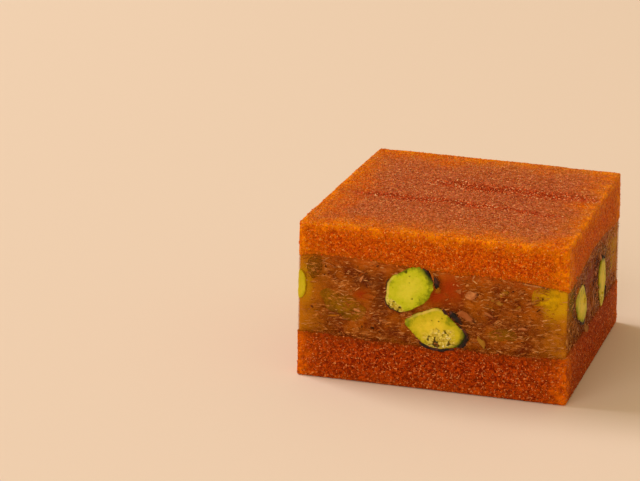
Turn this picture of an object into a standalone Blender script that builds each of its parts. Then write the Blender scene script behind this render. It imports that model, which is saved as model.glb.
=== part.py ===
"""A cut piece of layered turkish delight.

Two layers of sugared fruit paste hold a layer of clear jelly between them, and whole
pistachio kernels stand in the jelly. Four knife cuts, none of them quite square, have made
the block and sliced some of the kernels, whose cut faces show in its sides.

The block stands on the XY plane with the middle of its footprint at the origin. +X runs
along the longer side, +Y goes from the front cut to the back cut, and +Z is up. The driving
dimensions are in millimetres, and the finished meshes are in metres.
"""

import math

import bmesh
import bpy
import numpy as np
from mathutils import Matrix, Vector

MM = 0.001

# The block, measured at half height
WIDTH = 32.7
DEPTH = 30.5
HEIGHT = 20.0

# Each knife cut: the way it faces, its turn in plan and its lean inwards towards the top, in degrees
CUTS = {
    "front": ((0, -1), 0.0, 0.3),
    "right": ((1, 0), -2.5, 1.0),
    "back": ((0, 1), -1.4, 0.8),
    "left": ((-1, 0), -2.4, 1.1),
}
# Rise of the top along +X and along +Y, in degrees: the slab was poured a little thicker at the back
TOP_RISE = (-0.9, 2.6)

# Height of the two seams, the fall of the upper one along +X, and how much the seams wander
LOWER_SEAM = 5.6
UPPER_SEAM = 15.0
UPPER_SEAM_FALL = 0.045
SEAM_WANDER = 0.14
# The slow waves of each seam: radians for each millimetre along X and along Y, and the phase
LOWER_WAVES = ((0.37, 0.0, 0.9), (-0.11, 0.29, 0.0))
UPPER_WAVES = ((0.33, 0.14, 0.0), (0.0, 0.26, 0.7))
# The jelly has welled up by this much at the middle of the right cut, and the lowest kernel has
# pressed this deep a hollow into the base, this far along the front cut; both fade out over
# their spread
WELL_HEIGHT = 1.1
WELL_SPREAD = 7.0
HOLLOW_DEPTH = 0.55
HOLLOW_ALONG = 0.5
HOLLOW_SPREAD = 4.5
# Between two pieces, so that they touch without sharing a face
GAP = 0.3

# Roundings: upright edges, top rim and bottom rim
CORNER_RADIUS = 0.7
TOP_RADIUS = 0.5
FOOT_RADIUS = 0.3

# Points along a side of the outline and round a corner of it, rings across a cap as shares of
# the outline, and steps of a rounding
SIDE_POINTS = 8
CORNER_POINTS = 4
CAP_RINGS = (0.3, 0.6, 0.85)
ROUNDING_STEPS = 3
# Edges sharper than this stay sharp in the shading, in degrees
SHARP_ANGLE = 35

# A kernel's cut face stands this far out of the jelly
PROUD = 0.1
KERNEL_SIDES = 16
KERNEL_RINGS = 11
# How much fuller a kernel is at its blunt end than at its tip
KERNEL_TAPER = 0.22

# name: the cut it shows in, its place along that cut and its height,
#       length and width of what shows, turn of its long axis, depth of its axis behind the cut
KERNELS = {
    "pistachio_front_upper": ("front", -3.4, 12.15, 5.9, 5.0, 48, 0.2),
    "pistachio_front_lower": ("front", 0.2, 8.0, 7.8, 4.3, -14, 0.2),
    "pistachio_corner": ("left", 14.8, 11.6, 6.0, 3.6, 15, 0.5),
    "pistachio_right_near": ("right", -7.7, 10.1, 7.0, 4.4, -30, 0.2),
    "pistachio_right_far": ("right", 4.3, 9.1, 6.3, 3.9, 98, 0.2),
    "pistachio_left_middle": ("left", -1.5, 9.6, 6.8, 4.2, -30, 0.2),
    "pistachio_left_back": ("left", -10.2, 11.4, 5.2, 4.4, 50, 0.4),
    "pistachio_back_low": ("back", 6.6, 8.7, 7.4, 4.0, 15, 0.2),
    "pistachio_back_high": ("back", -6.8, 11.6, 5.8, 4.6, -40, 0.4),
}
# Thickness of a kernel across the cut, as a share of its width
KERNEL_THICKNESS = 1.1

# Finishes: colour (linear), roughness
PASTE = ("fruit_paste", (0.42, 0.085, 0.015), 0.55)
JELLY = ("amber_jelly", (0.26, 0.075, 0.012), 0.3)
KERNEL = ("pistachio", (0.42, 0.45, 0.06), 0.6)


def clear_scene():
    """Takes every object out of the scene."""
    for ob in list(bpy.data.objects):
        bpy.data.objects.remove(ob, do_unlink=True)


def material(name, colour, roughness):
    """The Principled finish of that name, made once."""
    found = bpy.data.materials.get(name)
    if found:
        return found
    made = bpy.data.materials.new(name)
    made.use_nodes = True
    shader = made.node_tree.nodes["Principled BSDF"]
    shader.inputs["Base Color"].default_value = (*colour, 1.0)
    shader.inputs["Roughness"].default_value = roughness
    shader.inputs["Metallic"].default_value = 0.0
    return made


def cut_plane(cut):
    """A point on that knife cut at half height and its outward normal."""
    (dx, dy), turn, lean = CUTS[cut]
    turn, lean = math.radians(turn), math.radians(lean)
    half = WIDTH / 2 if dx else DEPTH / 2
    facing = Vector((dx, dy, 0.0))
    facing.rotate(Matrix.Rotation(turn, 3, "Z"))
    normal = facing * math.cos(lean) + Vector((0, 0, math.sin(lean)))
    return Vector((dx * half, dy * half, HEIGHT / 2)), normal


def corner_at(cut_a, cut_b, z):
    """Where two neighbouring cuts meet at the heights z, as arrays x and y.

    Each cut is the line n.x * x + n.y * y = n.(p) - n.z * z, and the two lines are solved together.
    """
    (pa, na), (pb, nb) = cut_plane(cut_a), cut_plane(cut_b)
    right_a = na.dot(pa) - na.z * z
    right_b = nb.dot(pb) - nb.z * z
    det = na.x * nb.y - na.y * nb.x
    return (right_a * nb.y - right_b * na.y) / det, (na.x * right_b - nb.x * right_a) / det


def on_plan(a, b, z):
    """Maps the square -1..1, -1..1 onto the block's outline at the heights z.

    The four corners of the outline are blended with the weights (1 -/+ a)(1 -/+ b) / 4.
    """
    weights = {
        ("front", "left"): (1 - a) * (1 - b) / 4,
        ("front", "right"): (1 + a) * (1 - b) / 4,
        ("back", "right"): (1 + a) * (1 + b) / 4,
        ("back", "left"): (1 - a) * (1 + b) / 4,
    }
    x, y = np.zeros_like(a), np.zeros_like(a)
    for cuts, weight in weights.items():
        corner_x, corner_y = corner_at(*cuts, z)
        x += weight * corner_x
        y += weight * corner_y
    return x, y


def outline():
    """The square -1..1 with rounded corners, once round anticlockwise, as arrays a and b."""
    radius = CORNER_RADIUS / (WIDTH / 2)
    straight = np.linspace(-1 + radius, 1 - radius, SIDE_POINTS, endpoint=False)[1:]
    turn = np.linspace(-math.pi / 2, 0, CORNER_POINTS)
    # One side along the front from left to right, then the corner after it
    side_a = np.r_[straight, 1 - radius + radius * np.cos(turn)]
    side_b = np.r_[np.full(len(straight), -1.0), -1 + radius + radius * np.sin(turn)]
    a, b = [], []
    for quarter in range(4):
        cos, sin = ((1, 0), (0, 1), (-1, 0), (0, -1))[quarter]
        a.append(side_a * cos - side_b * sin)
        b.append(side_a * sin + side_b * cos)
    return np.concatenate(a), np.concatenate(b)


def bump_at(x, y, centre_x, centre_y, spread):
    """A round bump of height 1 about a centre: exp(-(distance / spread) ** 2)."""
    return np.exp(-((x - centre_x) ** 2 + (y - centre_y) ** 2) / spread**2)


def wander(x, y, waves):
    """How far a seam strays from its height: the sum of sin(along_x * x + along_y * y + phase)."""
    return SEAM_WANDER * sum(np.sin(along_x * x + along_y * y + phase) for along_x, along_y, phase in waves)


def lower_seam(x, y):
    """Height of the seam between the base paste and the jelly: level, with two slow waves,
    and a hollow where the lowest kernel has sunk into the paste."""
    hollow = bump_at(x, y, HOLLOW_ALONG, -DEPTH / 2, HOLLOW_SPREAD)
    return LOWER_SEAM + wander(x, y, LOWER_WAVES) - HOLLOW_DEPTH * hollow


def upper_seam(x, y):
    """Height of the seam between the jelly and the top paste: it falls along +X, with two slow
    waves, and stands higher where the jelly has welled up at the right cut."""
    well = bump_at(x, y, WIDTH / 2, 0.0, WELL_SPREAD)
    return UPPER_SEAM - UPPER_SEAM_FALL * x + wander(x, y, UPPER_WAVES) + WELL_HEIGHT * well


def top(x, y):
    """Height of the block's top, a plane that rises towards the back."""
    rise_x, rise_y = (math.tan(math.radians(rise)) for rise in TOP_RISE)
    return HEIGHT + rise_x * x + rise_y * y


def rim(radius):
    """A quarter circle from the side to the cap, as pairs of (inset, distance from the cap)."""
    if radius == 0:
        return [(0.0, 0.0)]
    steps = np.linspace(0, math.pi / 2, ROUNDING_STEPS + 1)
    return [(radius * (1 - math.cos(t)), radius * (1 - math.sin(t))) for t in steps]


def layer(name, floor, roof, floor_radius, roof_radius, finish):
    """One layer of the block between the surfaces floor(x, y) and roof(x, y).

    The mesh is a stack of rings. Each ring is the outline drawn in towards the middle by an
    inset and set at a height between floor and roof, and both caps close on a middle point.
    """
    a, b = outline()
    half = WIDTH / 2
    rings = [(share, 0.0, 0) for share in CAP_RINGS]
    rings += [(1 - inset / half, off, 0) for inset, off in reversed(rim(floor_radius))]
    rings += [(1 - inset / half, off, 1) for inset, off in rim(roof_radius)]
    rings += [(share, 0.0, 1) for share in reversed(CAP_RINGS)]

    def ring_points(share, off, level):
        """The ring's points: the height follows floor or roof, and the cuts lean with it."""
        x, y = on_plan(a * share, b * share, np.full(len(a), HEIGHT / 2))
        z = floor(x, y) + off if level == 0 else roof(x, y) - off
        x, y = on_plan(a * share, b * share, z)
        return [Vector(p) * MM for p in zip(x, y, z)]

    bm = bmesh.new()
    loops = [[bm.verts.new(p) for p in ring_points(*ring)] for ring in rings]
    middle = np.zeros(1)
    low = bm.verts.new(Vector((0, 0, floor(middle, middle)[0])) * MM)
    high = bm.verts.new(Vector((0, 0, roof(middle, middle)[0])) * MM)
    count = len(a)
    for i in range(count):
        j = (i + 1) % count
        bm.faces.new((low, loops[0][j], loops[0][i]))
        bm.faces.new((high, loops[-1][i], loops[-1][j]))
        for below, above in zip(loops, loops[1:]):
            bm.faces.new((below[i], below[j], above[j], above[i]))
    bmesh.ops.triangulate(bm, faces=bm.faces)
    return add_object(name, bm, finish)


def add_object(name, bm, finish):
    """Puts the bmesh into the scene as an object of that name, shaded smooth but for its sharp edges."""
    mesh = bpy.data.meshes.new(name)
    bm.to_mesh(mesh)
    bm.free()
    mesh.materials.append(material(*finish))
    mesh.shade_smooth()
    mesh.set_sharp_from_angle(angle=math.radians(SHARP_ANGLE))
    ob = bpy.data.objects.new(name, mesh)
    bpy.context.scene.collection.objects.link(ob)
    return ob


def kernel_frame(cut, along, up, turn, sink):
    """The kernel's place: its long axis lies in the cut, turned from level, and its middle is
    sink behind the cut. along runs to the right as the cut is seen from outside."""
    point, normal = cut_plane(cut)
    level = Vector((0, 0, 1)).cross(normal).normalized()
    rise = normal.cross(level)
    centre = point + level * along + rise * (up - HEIGHT / 2) - normal * sink
    angle = math.radians(turn)
    long_axis = level * math.cos(angle) + rise * math.sin(angle)
    wide_axis = normal.cross(long_axis)
    return Matrix.Translation(centre) @ Matrix((long_axis, wide_axis, normal)).transposed().to_4x4()


def kernel_body(cut, along, up, length, width, turn, sink, grow=0.0):
    """A whole pistachio kernel, grown all round by grow.

    It is a row of oval rings along the long axis: at the angle t from the tip the ring is at
    -cos(t) * half length and its half width is sin(t) * (1 - taper * cos(t)) of the greatest.
    length and width are those of the slice where the cut passes through the kernel.
    """
    half_thick = KERNEL_THICKNESS * width / 2
    slice_share = math.sqrt(1 - (sink / half_thick) ** 2)
    half_long = length / 2 / slice_share + grow
    half_wide = width / 2 / slice_share + grow
    half_thick += grow
    t = np.linspace(0, math.pi, KERNEL_RINGS)[1:-1]
    around = np.linspace(0, 2 * math.pi, KERNEL_SIDES, endpoint=False)
    bm = bmesh.new()
    loops = []
    for s in t:
        x = -math.cos(s) * half_long
        girth = math.sin(s) * (1 - KERNEL_TAPER * math.cos(s))
        wide, thick = girth * half_wide, girth * half_thick
        loops.append([bm.verts.new((x, wide * math.cos(p), thick * math.sin(p))) for p in around])
    ends = bm.verts.new((-half_long, 0, 0)), bm.verts.new((half_long, 0, 0))
    for i in range(KERNEL_SIDES):
        j = (i + 1) % KERNEL_SIDES
        bm.faces.new((ends[0], loops[0][j], loops[0][i]))
        bm.faces.new((ends[1], loops[-1][i], loops[-1][j]))
        for first, second in zip(loops, loops[1:]):
            bm.faces.new((first[i], first[j], second[j], second[i]))
    bmesh.ops.triangulate(bm, faces=bm.faces)
    bmesh.ops.transform(bm, matrix=kernel_frame(cut, along, up, turn, sink), verts=bm.verts)
    bmesh.ops.recalc_face_normals(bm, faces=bm.faces)
    return bm


def slice_off(bm, cut):
    """Cuts the bmesh with that knife cut, PROUD outside it, and closes the slice."""
    point, normal = cut_plane(cut)
    whole = bm.verts[:] + bm.edges[:] + bm.faces[:]
    result = bmesh.ops.bisect_plane(
        bm, geom=whole, plane_co=point + normal * PROUD, plane_no=normal, clear_outer=True
    )
    rim_edges = [e for e in result["geom_cut"] if isinstance(e, bmesh.types.BMEdge)]
    if rim_edges:
        filled = bmesh.ops.edgenet_fill(bm, edges=rim_edges)["faces"]
        bmesh.ops.triangulate(bm, faces=filled)


def scale_to_metres(bm):
    """Turns a bmesh drawn in millimetres into metres."""
    bmesh.ops.scale(bm, vec=(MM, MM, MM), verts=bm.verts)


def add_kernel(name, jelly):
    """Makes a sliced kernel and the pocket that holds it in the jelly, GAP wider all round."""
    cut, *place = KERNELS[name]
    body = kernel_body(cut, *place)
    for each in CUTS:
        slice_off(body, each)
    bmesh.ops.recalc_face_normals(body, faces=body.faces)
    scale_to_metres(body)
    add_object(name, body, KERNEL)

    pocket = kernel_body(cut, *place, grow=GAP)
    scale_to_metres(pocket)
    cutter = add_object(name + "_pocket", pocket, KERNEL)
    cutter.hide_render = True
    cutter.display_type = "WIRE"
    cutter.hide_set(True)
    hollow = jelly.modifiers.new(name + "_pocket", "BOOLEAN")
    hollow.operation = "DIFFERENCE"
    hollow.solver = "EXACT"
    hollow.object = cutter


def centre_on_origin():
    """Moves every mesh so that the layers' common box has the origin in the middle of its foot."""
    corners = [
        vertex.co
        for ob in bpy.data.objects
        if not ob.hide_render
        for vertex in ob.data.vertices
    ]
    low = Vector(min(c[k] for c in corners) for k in range(3))
    high = Vector(max(c[k] for c in corners) for k in range(3))
    middle = (low + high) / 2
    for ob in bpy.data.objects:
        ob.data.transform(Matrix.Translation((-middle.x, -middle.y, -low.z)))


def main():
    clear_scene()
    half_gap = GAP / 2
    layer(
        "paste_base",
        lambda x, y: np.zeros_like(x),
        lambda x, y: lower_seam(x, y) - half_gap,
        FOOT_RADIUS,
        0,
        PASTE,
    )
    jelly = layer(
        "jelly",
        lambda x, y: lower_seam(x, y) + half_gap,
        lambda x, y: upper_seam(x, y) - half_gap,
        0,
        0,
        JELLY,
    )
    layer(
        "paste_top",
        lambda x, y: upper_seam(x, y) + half_gap,
        top,
        0,
        TOP_RADIUS,
        PASTE,
    )
    for name in KERNELS:
        add_kernel(name, jelly)
    centre_on_origin()


main()
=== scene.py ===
# %% [markdown]
# # A cut piece of layered turkish delight
#
# The sweet is a slab of three layers, cut with a knife: grainy orange fruit paste, clear
# amber jelly full of fruit shreds and pistachios, and fruit paste again. This notebook
# starts from a fixed frame, the solid model of the block with its right size, and builds
# the surfaces that an eye sees on it: crumb, gloss, sliced nuts, and what hangs in the jelly.
#
# Lengths below are in millimetres. `MM` turns them into Blender's metres at the last moment.

import math

import bpy
import numpy as np
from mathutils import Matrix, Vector


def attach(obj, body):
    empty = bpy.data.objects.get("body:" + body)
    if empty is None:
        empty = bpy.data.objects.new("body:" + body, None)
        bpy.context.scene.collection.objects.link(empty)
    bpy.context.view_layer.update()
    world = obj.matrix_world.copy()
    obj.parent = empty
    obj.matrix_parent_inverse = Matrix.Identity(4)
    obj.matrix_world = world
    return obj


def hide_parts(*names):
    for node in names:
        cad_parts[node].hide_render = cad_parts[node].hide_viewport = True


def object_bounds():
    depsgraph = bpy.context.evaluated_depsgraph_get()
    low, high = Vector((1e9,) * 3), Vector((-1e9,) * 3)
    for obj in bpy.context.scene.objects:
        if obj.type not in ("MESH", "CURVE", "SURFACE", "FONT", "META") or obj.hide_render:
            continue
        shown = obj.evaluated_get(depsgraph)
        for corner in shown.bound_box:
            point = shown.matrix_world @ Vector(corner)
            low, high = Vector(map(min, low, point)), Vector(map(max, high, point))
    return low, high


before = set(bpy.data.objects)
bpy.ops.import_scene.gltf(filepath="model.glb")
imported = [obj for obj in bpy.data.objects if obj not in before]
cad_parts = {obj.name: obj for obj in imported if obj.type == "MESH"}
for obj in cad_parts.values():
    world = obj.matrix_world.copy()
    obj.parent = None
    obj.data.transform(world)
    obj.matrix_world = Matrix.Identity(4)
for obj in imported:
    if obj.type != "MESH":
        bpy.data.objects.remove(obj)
cad_low, cad_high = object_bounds()
MM = 0.001
block_low, block_high = np.array(cad_low) / MM, np.array(cad_high) / MM
print("block, mm:", np.round(block_high - block_low, 1))

# %% [markdown]
# ## Camera
#
# Small food is usually taken with a long lens from a good way off, which keeps its edges
# nearly parallel. A 101 mm lens looks down at the block from its right front. The block sits
# right of the middle of the picture, so the camera aims at a point beside it.

# %% Camera
LENS, SENSOR = 101.25, 36.0
AZIMUTH, ELEVATION = math.radians(17.6), math.radians(17.65)
DISTANCE = 225.0
BESIDE, ABOVE = -18.15, 3.45  # from the block's middle to the aim, across and up the picture

level_back = Vector((math.sin(AZIMUTH), -math.cos(AZIMUTH), 0.0))
backwards = level_back * math.cos(ELEVATION) + Vector((0.0, 0.0, math.sin(ELEVATION)))
across = Vector((math.cos(AZIMUTH), math.sin(AZIMUTH), 0.0))
upwards = backwards.cross(across)
block_middle = Vector((block_low + block_high) / 2)
camera_data = bpy.data.cameras.new("camera")
camera_data.lens, camera_data.sensor_width = LENS, SENSOR
camera_data.clip_start = 0.01
camera = bpy.data.objects.new("camera", camera_data)
camera.location = (block_middle + across * BESIDE + upwards * ABOVE + backwards * DISTANCE) * MM
camera.rotation_euler = (math.pi / 2 - ELEVATION, 0.0, AZIMUTH)
bpy.context.scene.collection.objects.link(camera)
bpy.context.scene.camera = camera
print("camera, mm:", np.round(np.array(camera.location) / MM, 1))

# %% [markdown]
# ## Light
#
# Jelly and sugar look best with the light behind them. One large soft window stands at the
# back left and rakes over the top, a weak wide card in front fills the cut faces, and the
# even warm sky does the rest. The plain colour transform keeps the food's colours as set.

# %% Light
bpy.context.scene.view_settings.view_transform = "Standard"


def soft_light(name, azimuth, elevation, distance, width, watts, colour):
    """A square area light at that angle round the block, in degrees, which faces the block."""
    data = bpy.data.lights.new(name, "AREA")
    data.size, data.energy, data.color = width * MM, watts, colour
    light = bpy.data.objects.new(name, data)
    a, e = math.radians(azimuth), math.radians(elevation)
    away = Vector((math.sin(a) * math.cos(e), -math.cos(a) * math.cos(e), math.sin(e)))
    light.location = (block_middle + away * distance) * MM
    light.rotation_euler = away.to_track_quat("Z", "Y").to_euler()
    bpy.context.scene.collection.objects.link(light)


soft_light("window", -100, 47, 2500, 1100, 37.0, (1.0, 0.95, 0.89))
soft_light("card", -15, 32, 2500, 1800, 18.0, (1.0, 0.91, 0.84))
world = bpy.data.worlds.new("sky")
world.use_nodes = True
sky = world.node_tree.nodes["Background"].inputs
sky["Color"].default_value = (1.0, 0.77, 0.38, 1.0)
sky["Strength"].default_value = 0.5
bpy.context.scene.world = world
print("lights:", bpy.data.lights.keys(), "and", world.name)

# %% [markdown]
# ## Making a mesh and a material
#
# Every piece below is a set of points worked out with numpy, and faces that join them.
# `add_mesh` puts the arrays into Blender in one go, with any number of named values for each
# point, which the materials can read. `wire` adds a shader node and links or sets its inputs,
# and the short helpers after it stand for the few nodes that nearly every material here uses.

# %% Helper for meshes
def add_mesh(name, points, faces, material, values=None, stage=False, stands_for=()):
    """A smooth mesh object at the origin from points in millimetres and lists of faces."""
    mesh = bpy.data.meshes.new(name)
    rows = [row for block in faces for row in block.tolist()]
    mesh.from_pydata((points * MM).tolist(), [], rows)
    for key, per_point in (values or {}).items():
        layer = mesh.attributes.new(key, "FLOAT", "POINT")
        layer.data.foreach_set("value", np.asarray(per_point, np.float32))
    mesh.materials.append(material)
    mesh.shade_smooth()
    piece = bpy.data.objects.new(name, mesh)
    bpy.context.scene.collection.objects.link(piece)
    if stage:
        return piece
    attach(piece, "root")
    for node in stands_for:
        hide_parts(node)
    print(f"{name}: {len(points)} points, {len(rows)} faces")
    return piece


# %% Helpers for nodes
def wire(tree, kind, inputs=None, **settings):
    """Adds a node of that kind, with its settings, and links or sets its inputs by name or place."""
    node = tree.nodes.new("ShaderNode" + kind)
    for key, value in settings.items():
        setattr(node, key, value)
    for key, value in (inputs or {}).items():
        socket = node.inputs[key]
        if isinstance(value, bpy.types.NodeSocket):
            tree.links.new(value, socket)
        elif isinstance(value, (tuple, list)) and socket.type == "RGBA":
            socket.default_value = (*value, 1.0)
        else:
            socket.default_value = value
    return node


def mix(tree, share, first, second):
    """The colour between first and second at that share."""
    node = wire(tree, "Mix", {0: share, 6: first, 7: second}, data_type="RGBA")
    return node.outputs[2]


def ramp(tree, value, low, high, to_low=0.0, to_high=1.0):
    """Stretches a value so that low..high becomes to_low..to_high, and stops there."""
    inputs = {"Value": value, "From Min": low, "From Max": high, "To Min": to_low, "To Max": to_high}
    return wire(tree, "MapRange", inputs).outputs["Result"]


def noise(tree, place, scale, detail, roughness=0.5):
    """Soft noise round 0.5, with that many waves to the unit of place."""
    inputs = {"Vector": place, "Scale": scale, "Detail": detail, "Roughness": roughness}
    return wire(tree, "TexNoise", inputs).outputs["Fac"]


def reckon(tree, operation, *numbers):
    """The result of one operation, such as ADD or MULTIPLY, on two or three numbers."""
    return wire(tree, "Math", dict(enumerate(numbers)), operation=operation).outputs[0]


def read(tree, name):
    """The value of that name which the mesh carries at each point."""
    return wire(tree, "Attribute", attribute_name=name).outputs["Fac"]


def from_srgb(red, green, blue):
    """A linear colour from the 0..255 numbers that a painter would pick."""
    channel = np.array([red, green, blue]) / 255
    linear = np.where(channel <= 0.04045, channel / 12.92, ((channel + 0.055) / 1.055) ** 2.4)
    return tuple(float(c) for c in linear)


def tint(tree, colour, shade, value, low=0.0, high=1.0, most=1.0):
    """Lays a painter's shade over a colour: none of it where the value is low, and the share
    most of it where the value is high."""
    return mix(tree, ramp(tree, value, low, high, 0.0, most), colour, from_srgb(*shade))


def feed(tree, shader, **values):
    """Links each value to the shader's input of that name, written with _ for a space."""
    for key, value in values.items():
        tree.links.new(value, shader.inputs[key.replace("_", " ")])


def add_bump(tree, shader, height, strength, distance):
    """Tips the shader's normals as if the surface rose by height times distance, in metres."""
    bump = wire(tree, "Bump", {"Height": height, "Strength": strength, "Distance": distance})
    feed(tree, shader, Normal=bump.outputs["Normal"])


def new_material(name, **plain):
    """A material with one Principled shader, its plain inputs set, and that shader."""
    material = bpy.data.materials.new(name)
    material.use_nodes = True
    shader = material.node_tree.nodes["Principled BSDF"]
    for key, value in plain.items():
        shader.inputs[key.replace("_", " ")].default_value = value
    return material, material.node_tree, shader


print("a painter's mid orange, linear:", np.round(from_srgb(214, 82, 10), 3))

# %% [markdown]
# ## Noise
#
# Food is uneven at every scale, so its shapes need noise that can be read at any point in
# space. Two kinds are enough. `waves` is soft: random numbers on a grid, blended smoothly.
# `crumbs` is hard: space is strewn with seeds, and each point knows how far the nearest one
# is, which gives packed grains with creases between them.

# %% Noise in numpy
LATTICE = 32
lattice_noise = np.random.default_rng(11).random((LATTICE, LATTICE, LATTICE, 4))


def lattice_at(cell):
    """The four random numbers of each whole-numbered cell; the table repeats for ever."""
    i, j, k = (cell % LATTICE).T
    return lattice_noise[i, j, k]


def waves(points, size, seed=0.0):
    """Soft noise from -1 to 1: the lattice's numbers at the eight corners round each point,
    blended with the weights f * f * (3 - 2 * f) along each axis."""
    q = points / size + 7.3 * seed
    cell = np.floor(q).astype(int)
    f = q - cell
    f = f * f * (3 - 2 * f)
    total = np.zeros(len(points))
    for corner in np.ndindex(2, 2, 2):
        weight = np.where(corner, f, 1 - f).prod(axis=1)
        total += weight * lattice_at(cell + corner)[:, 3]
    return 2 * total - 1


def crumbs(points, size, seed=0.0):
    """Packed grains: the distance to the nearest seed in units of size, and that seed's number.
    Each cell of the grid has one seed at a random place in it, and the 27 cells round a point
    are looked through."""
    q = points / size + 5.1 * seed
    cell = np.floor(q).astype(int)
    nearest = np.full(len(points), 9.0)
    number = np.zeros(len(points))
    for step in np.ndindex(3, 3, 3):
        near = cell + np.array(step) - 1
        numbers = lattice_at(near)
        distance = np.linalg.norm(near + numbers[:, :3] - q, axis=1)
        number = np.where(distance < nearest, numbers[:, 3], number)
        nearest = np.minimum(distance, nearest)
    return nearest, number


sample = np.random.default_rng(1).uniform(-9, 9, (500, 3))
print("waves run from, to:", np.round([waves(sample, 2.0).min(), waves(sample, 2.0).max()], 2))
print("crumbs, mean distance to a seed:", round(float(crumbs(sample, 1.0)[0].mean()), 2))

# %% [markdown]
# ## The block's own shape
#
# The knife's four cuts are not quite square, and the seams between the layers wander. None
# of that is typed in again here. The frame's faces say it: the flat faces of the paste layers
# that look forwards give the front cut's plane, and so on round. The seams are the faces that
# look up or down between two layers, and a smooth surface is fitted through them.

# %% Read the cuts from the frame
def faces_of(*nodes):
    """Centre, normal and area of every face of those solids, as arrays in millimetres."""
    centres, normals, areas = [], [], []
    for node in nodes:
        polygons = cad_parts[node].data.polygons
        centre, normal = np.empty(3 * len(polygons)), np.empty(3 * len(polygons))
        area = np.empty(len(polygons))
        polygons.foreach_get("center", centre)
        polygons.foreach_get("normal", normal)
        polygons.foreach_get("area", area)
        centres.append(centre.reshape(-1, 3) / MM)
        normals.append(normal.reshape(-1, 3))
        areas.append(area)
    return np.concatenate(centres), np.concatenate(normals), np.concatenate(areas)


NEARLY_THAT_WAY = 0.985  # the cosine of 10 degrees


def plane_facing(direction, *nodes):
    """The plane of the faces that look that way: their mean normal n and offset n . p, by area."""
    centre, normal, area = faces_of(*nodes)
    chosen = normal @ direction > NEARLY_THAT_WAY
    facing = (normal * area[:, None])[chosen].sum(0)
    facing /= np.linalg.norm(facing)
    offset = ((centre @ facing) * area)[chosen].sum() / area[chosen].sum()
    return facing, offset


CUTS = {
    name: plane_facing(np.array(direction, float), "paste_base", "paste_top")
    for name, direction in {
        "front": (0, -1, 0), "right": (1, 0, 0), "back": (0, 1, 0), "left": (-1, 0, 0),
    }.items()
}
top_normal, top_offset = plane_facing(np.array([0.0, 0.0, 1.0]), "paste_top")
HALF_WIDTH, HALF_DEPTH = (block_high - block_low)[:2] / 2
print("cuts:", {name: np.round(plane[0], 3).tolist() for name, plane in CUTS.items()})

# %% [markdown]
# The seams could be read face by face, but then every small facet would show in the surface. A
# polynomial in x and y, fitted by least squares, follows the slow wave of the seam and gives a
# height anywhere, also a little way past the block's edges.

# %% Read the seams from the frame
SEAM_GAP = 0.3  # the solids keep this much room between two layers
SEAM_ORDER = 5
SEAM_BAND = 2.0, 17.5  # heights between which every face of a seam lies


def powers(x, y):
    """The products x^i * y^j up to the seam's order, one column each, with x and y near 1."""
    x, y = x / HALF_WIDTH, y / HALF_DEPTH
    columns = [x**i * y**j for i in range(SEAM_ORDER + 1) for j in range(SEAM_ORDER + 1 - i)]
    return np.stack(columns, axis=-1)


def fit_seam(node, up):
    """Least-squares heights of the node's faces that look up (1) or down (-1) between the layers."""
    centre, normal, _ = faces_of(node)
    in_band = (centre[:, 2] > SEAM_BAND[0]) & (centre[:, 2] < SEAM_BAND[1])
    chosen = (normal[:, 2] * up > 0.9) & in_band
    x, y, z = centre[chosen].T
    return np.linalg.lstsq(powers(x, y), z + up * SEAM_GAP / 2, rcond=None)[0]


lower_fit, upper_fit = fit_seam("paste_base", 1), fit_seam("paste_top", -1)


def lower_seam(x, y):
    """Height of the seam between the base and the jelly: the fitted sum of the powers."""
    return powers(x, y) @ lower_fit


def upper_seam(x, y):
    """Height of the seam between the jelly and the top, in the same way."""
    return powers(x, y) @ upper_fit


def block_top(x, y):
    """Height of the top plane n . p = offset."""
    return (top_offset - top_normal[0] * x - top_normal[1] * y) / top_normal[2]


def block_foot(x, y):
    """Height of the underside: 0 everywhere."""
    return np.zeros_like(x)


print("seams at the middle, mm:", np.round([lower_seam(0.0, 0.0), upper_seam(0.0, 0.0)], 2))

# %% [markdown]
# The surfaces below are easiest to work out in an upright box, and the real block leans a
# little on every side. `to_block` is the one step between the two: it carries the box's corners
# to the places where the cuts meet, and everything else goes along in proportion.

# %% Fit a box into the cuts
def cut_corner(cut_a, cut_b, z):
    """x and y where two cuts meet at the heights z: two lines in plan, solved together."""
    (na, da), (nb, db) = CUTS[cut_a], CUTS[cut_b]
    ra, rb = da - na[2] * z, db - nb[2] * z
    det = na[0] * nb[1] - na[1] * nb[0]
    return (ra * nb[1] - rb * na[1]) / det, (na[0] * rb - nb[0] * ra) / det


def to_block(points):
    """Carries points of an upright box, half width by half depth, into the knife-cut block:
    at each height the box's corners go to the cuts' corners, and the rest is blended."""
    a, b, z = points[:, 0] / HALF_WIDTH, points[:, 1] / HALF_DEPTH, points[:, 2]
    x, y = np.zeros_like(z), np.zeros_like(z)
    for cut_a, cut_b, weight in (
        ("front", "left", (1 - a) * (1 - b)),
        ("front", "right", (1 + a) * (1 - b)),
        ("back", "right", (1 + a) * (1 + b)),
        ("back", "left", (1 - a) * (1 + b)),
    ):
        corner_x, corner_y = cut_corner(cut_a, cut_b, z)
        x += weight / 4 * corner_x
        y += weight / 4 * corner_y
    return np.stack([x, y, z], axis=-1)


corner_of_base = to_block(np.array([[-HALF_WIDTH, -HALF_DEPTH, 0.0]]))[0]
print("front left corner of the underside, mm:", np.round(corner_of_base, 2))

# %% [markdown]
# ## A layer as one surface
#
# A layer is a box with a wavy floor and roof. `layer_surface` walks round its four sides in
# small steps, rows from floor to roof, and roofs it with a grid whose border is the top row,
# so the mesh is closed with even cells. Its edges are rounded by one formula: the box's point
# is pulled back to a smaller box, and pushed out again by the radius, straight away from it.

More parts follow.
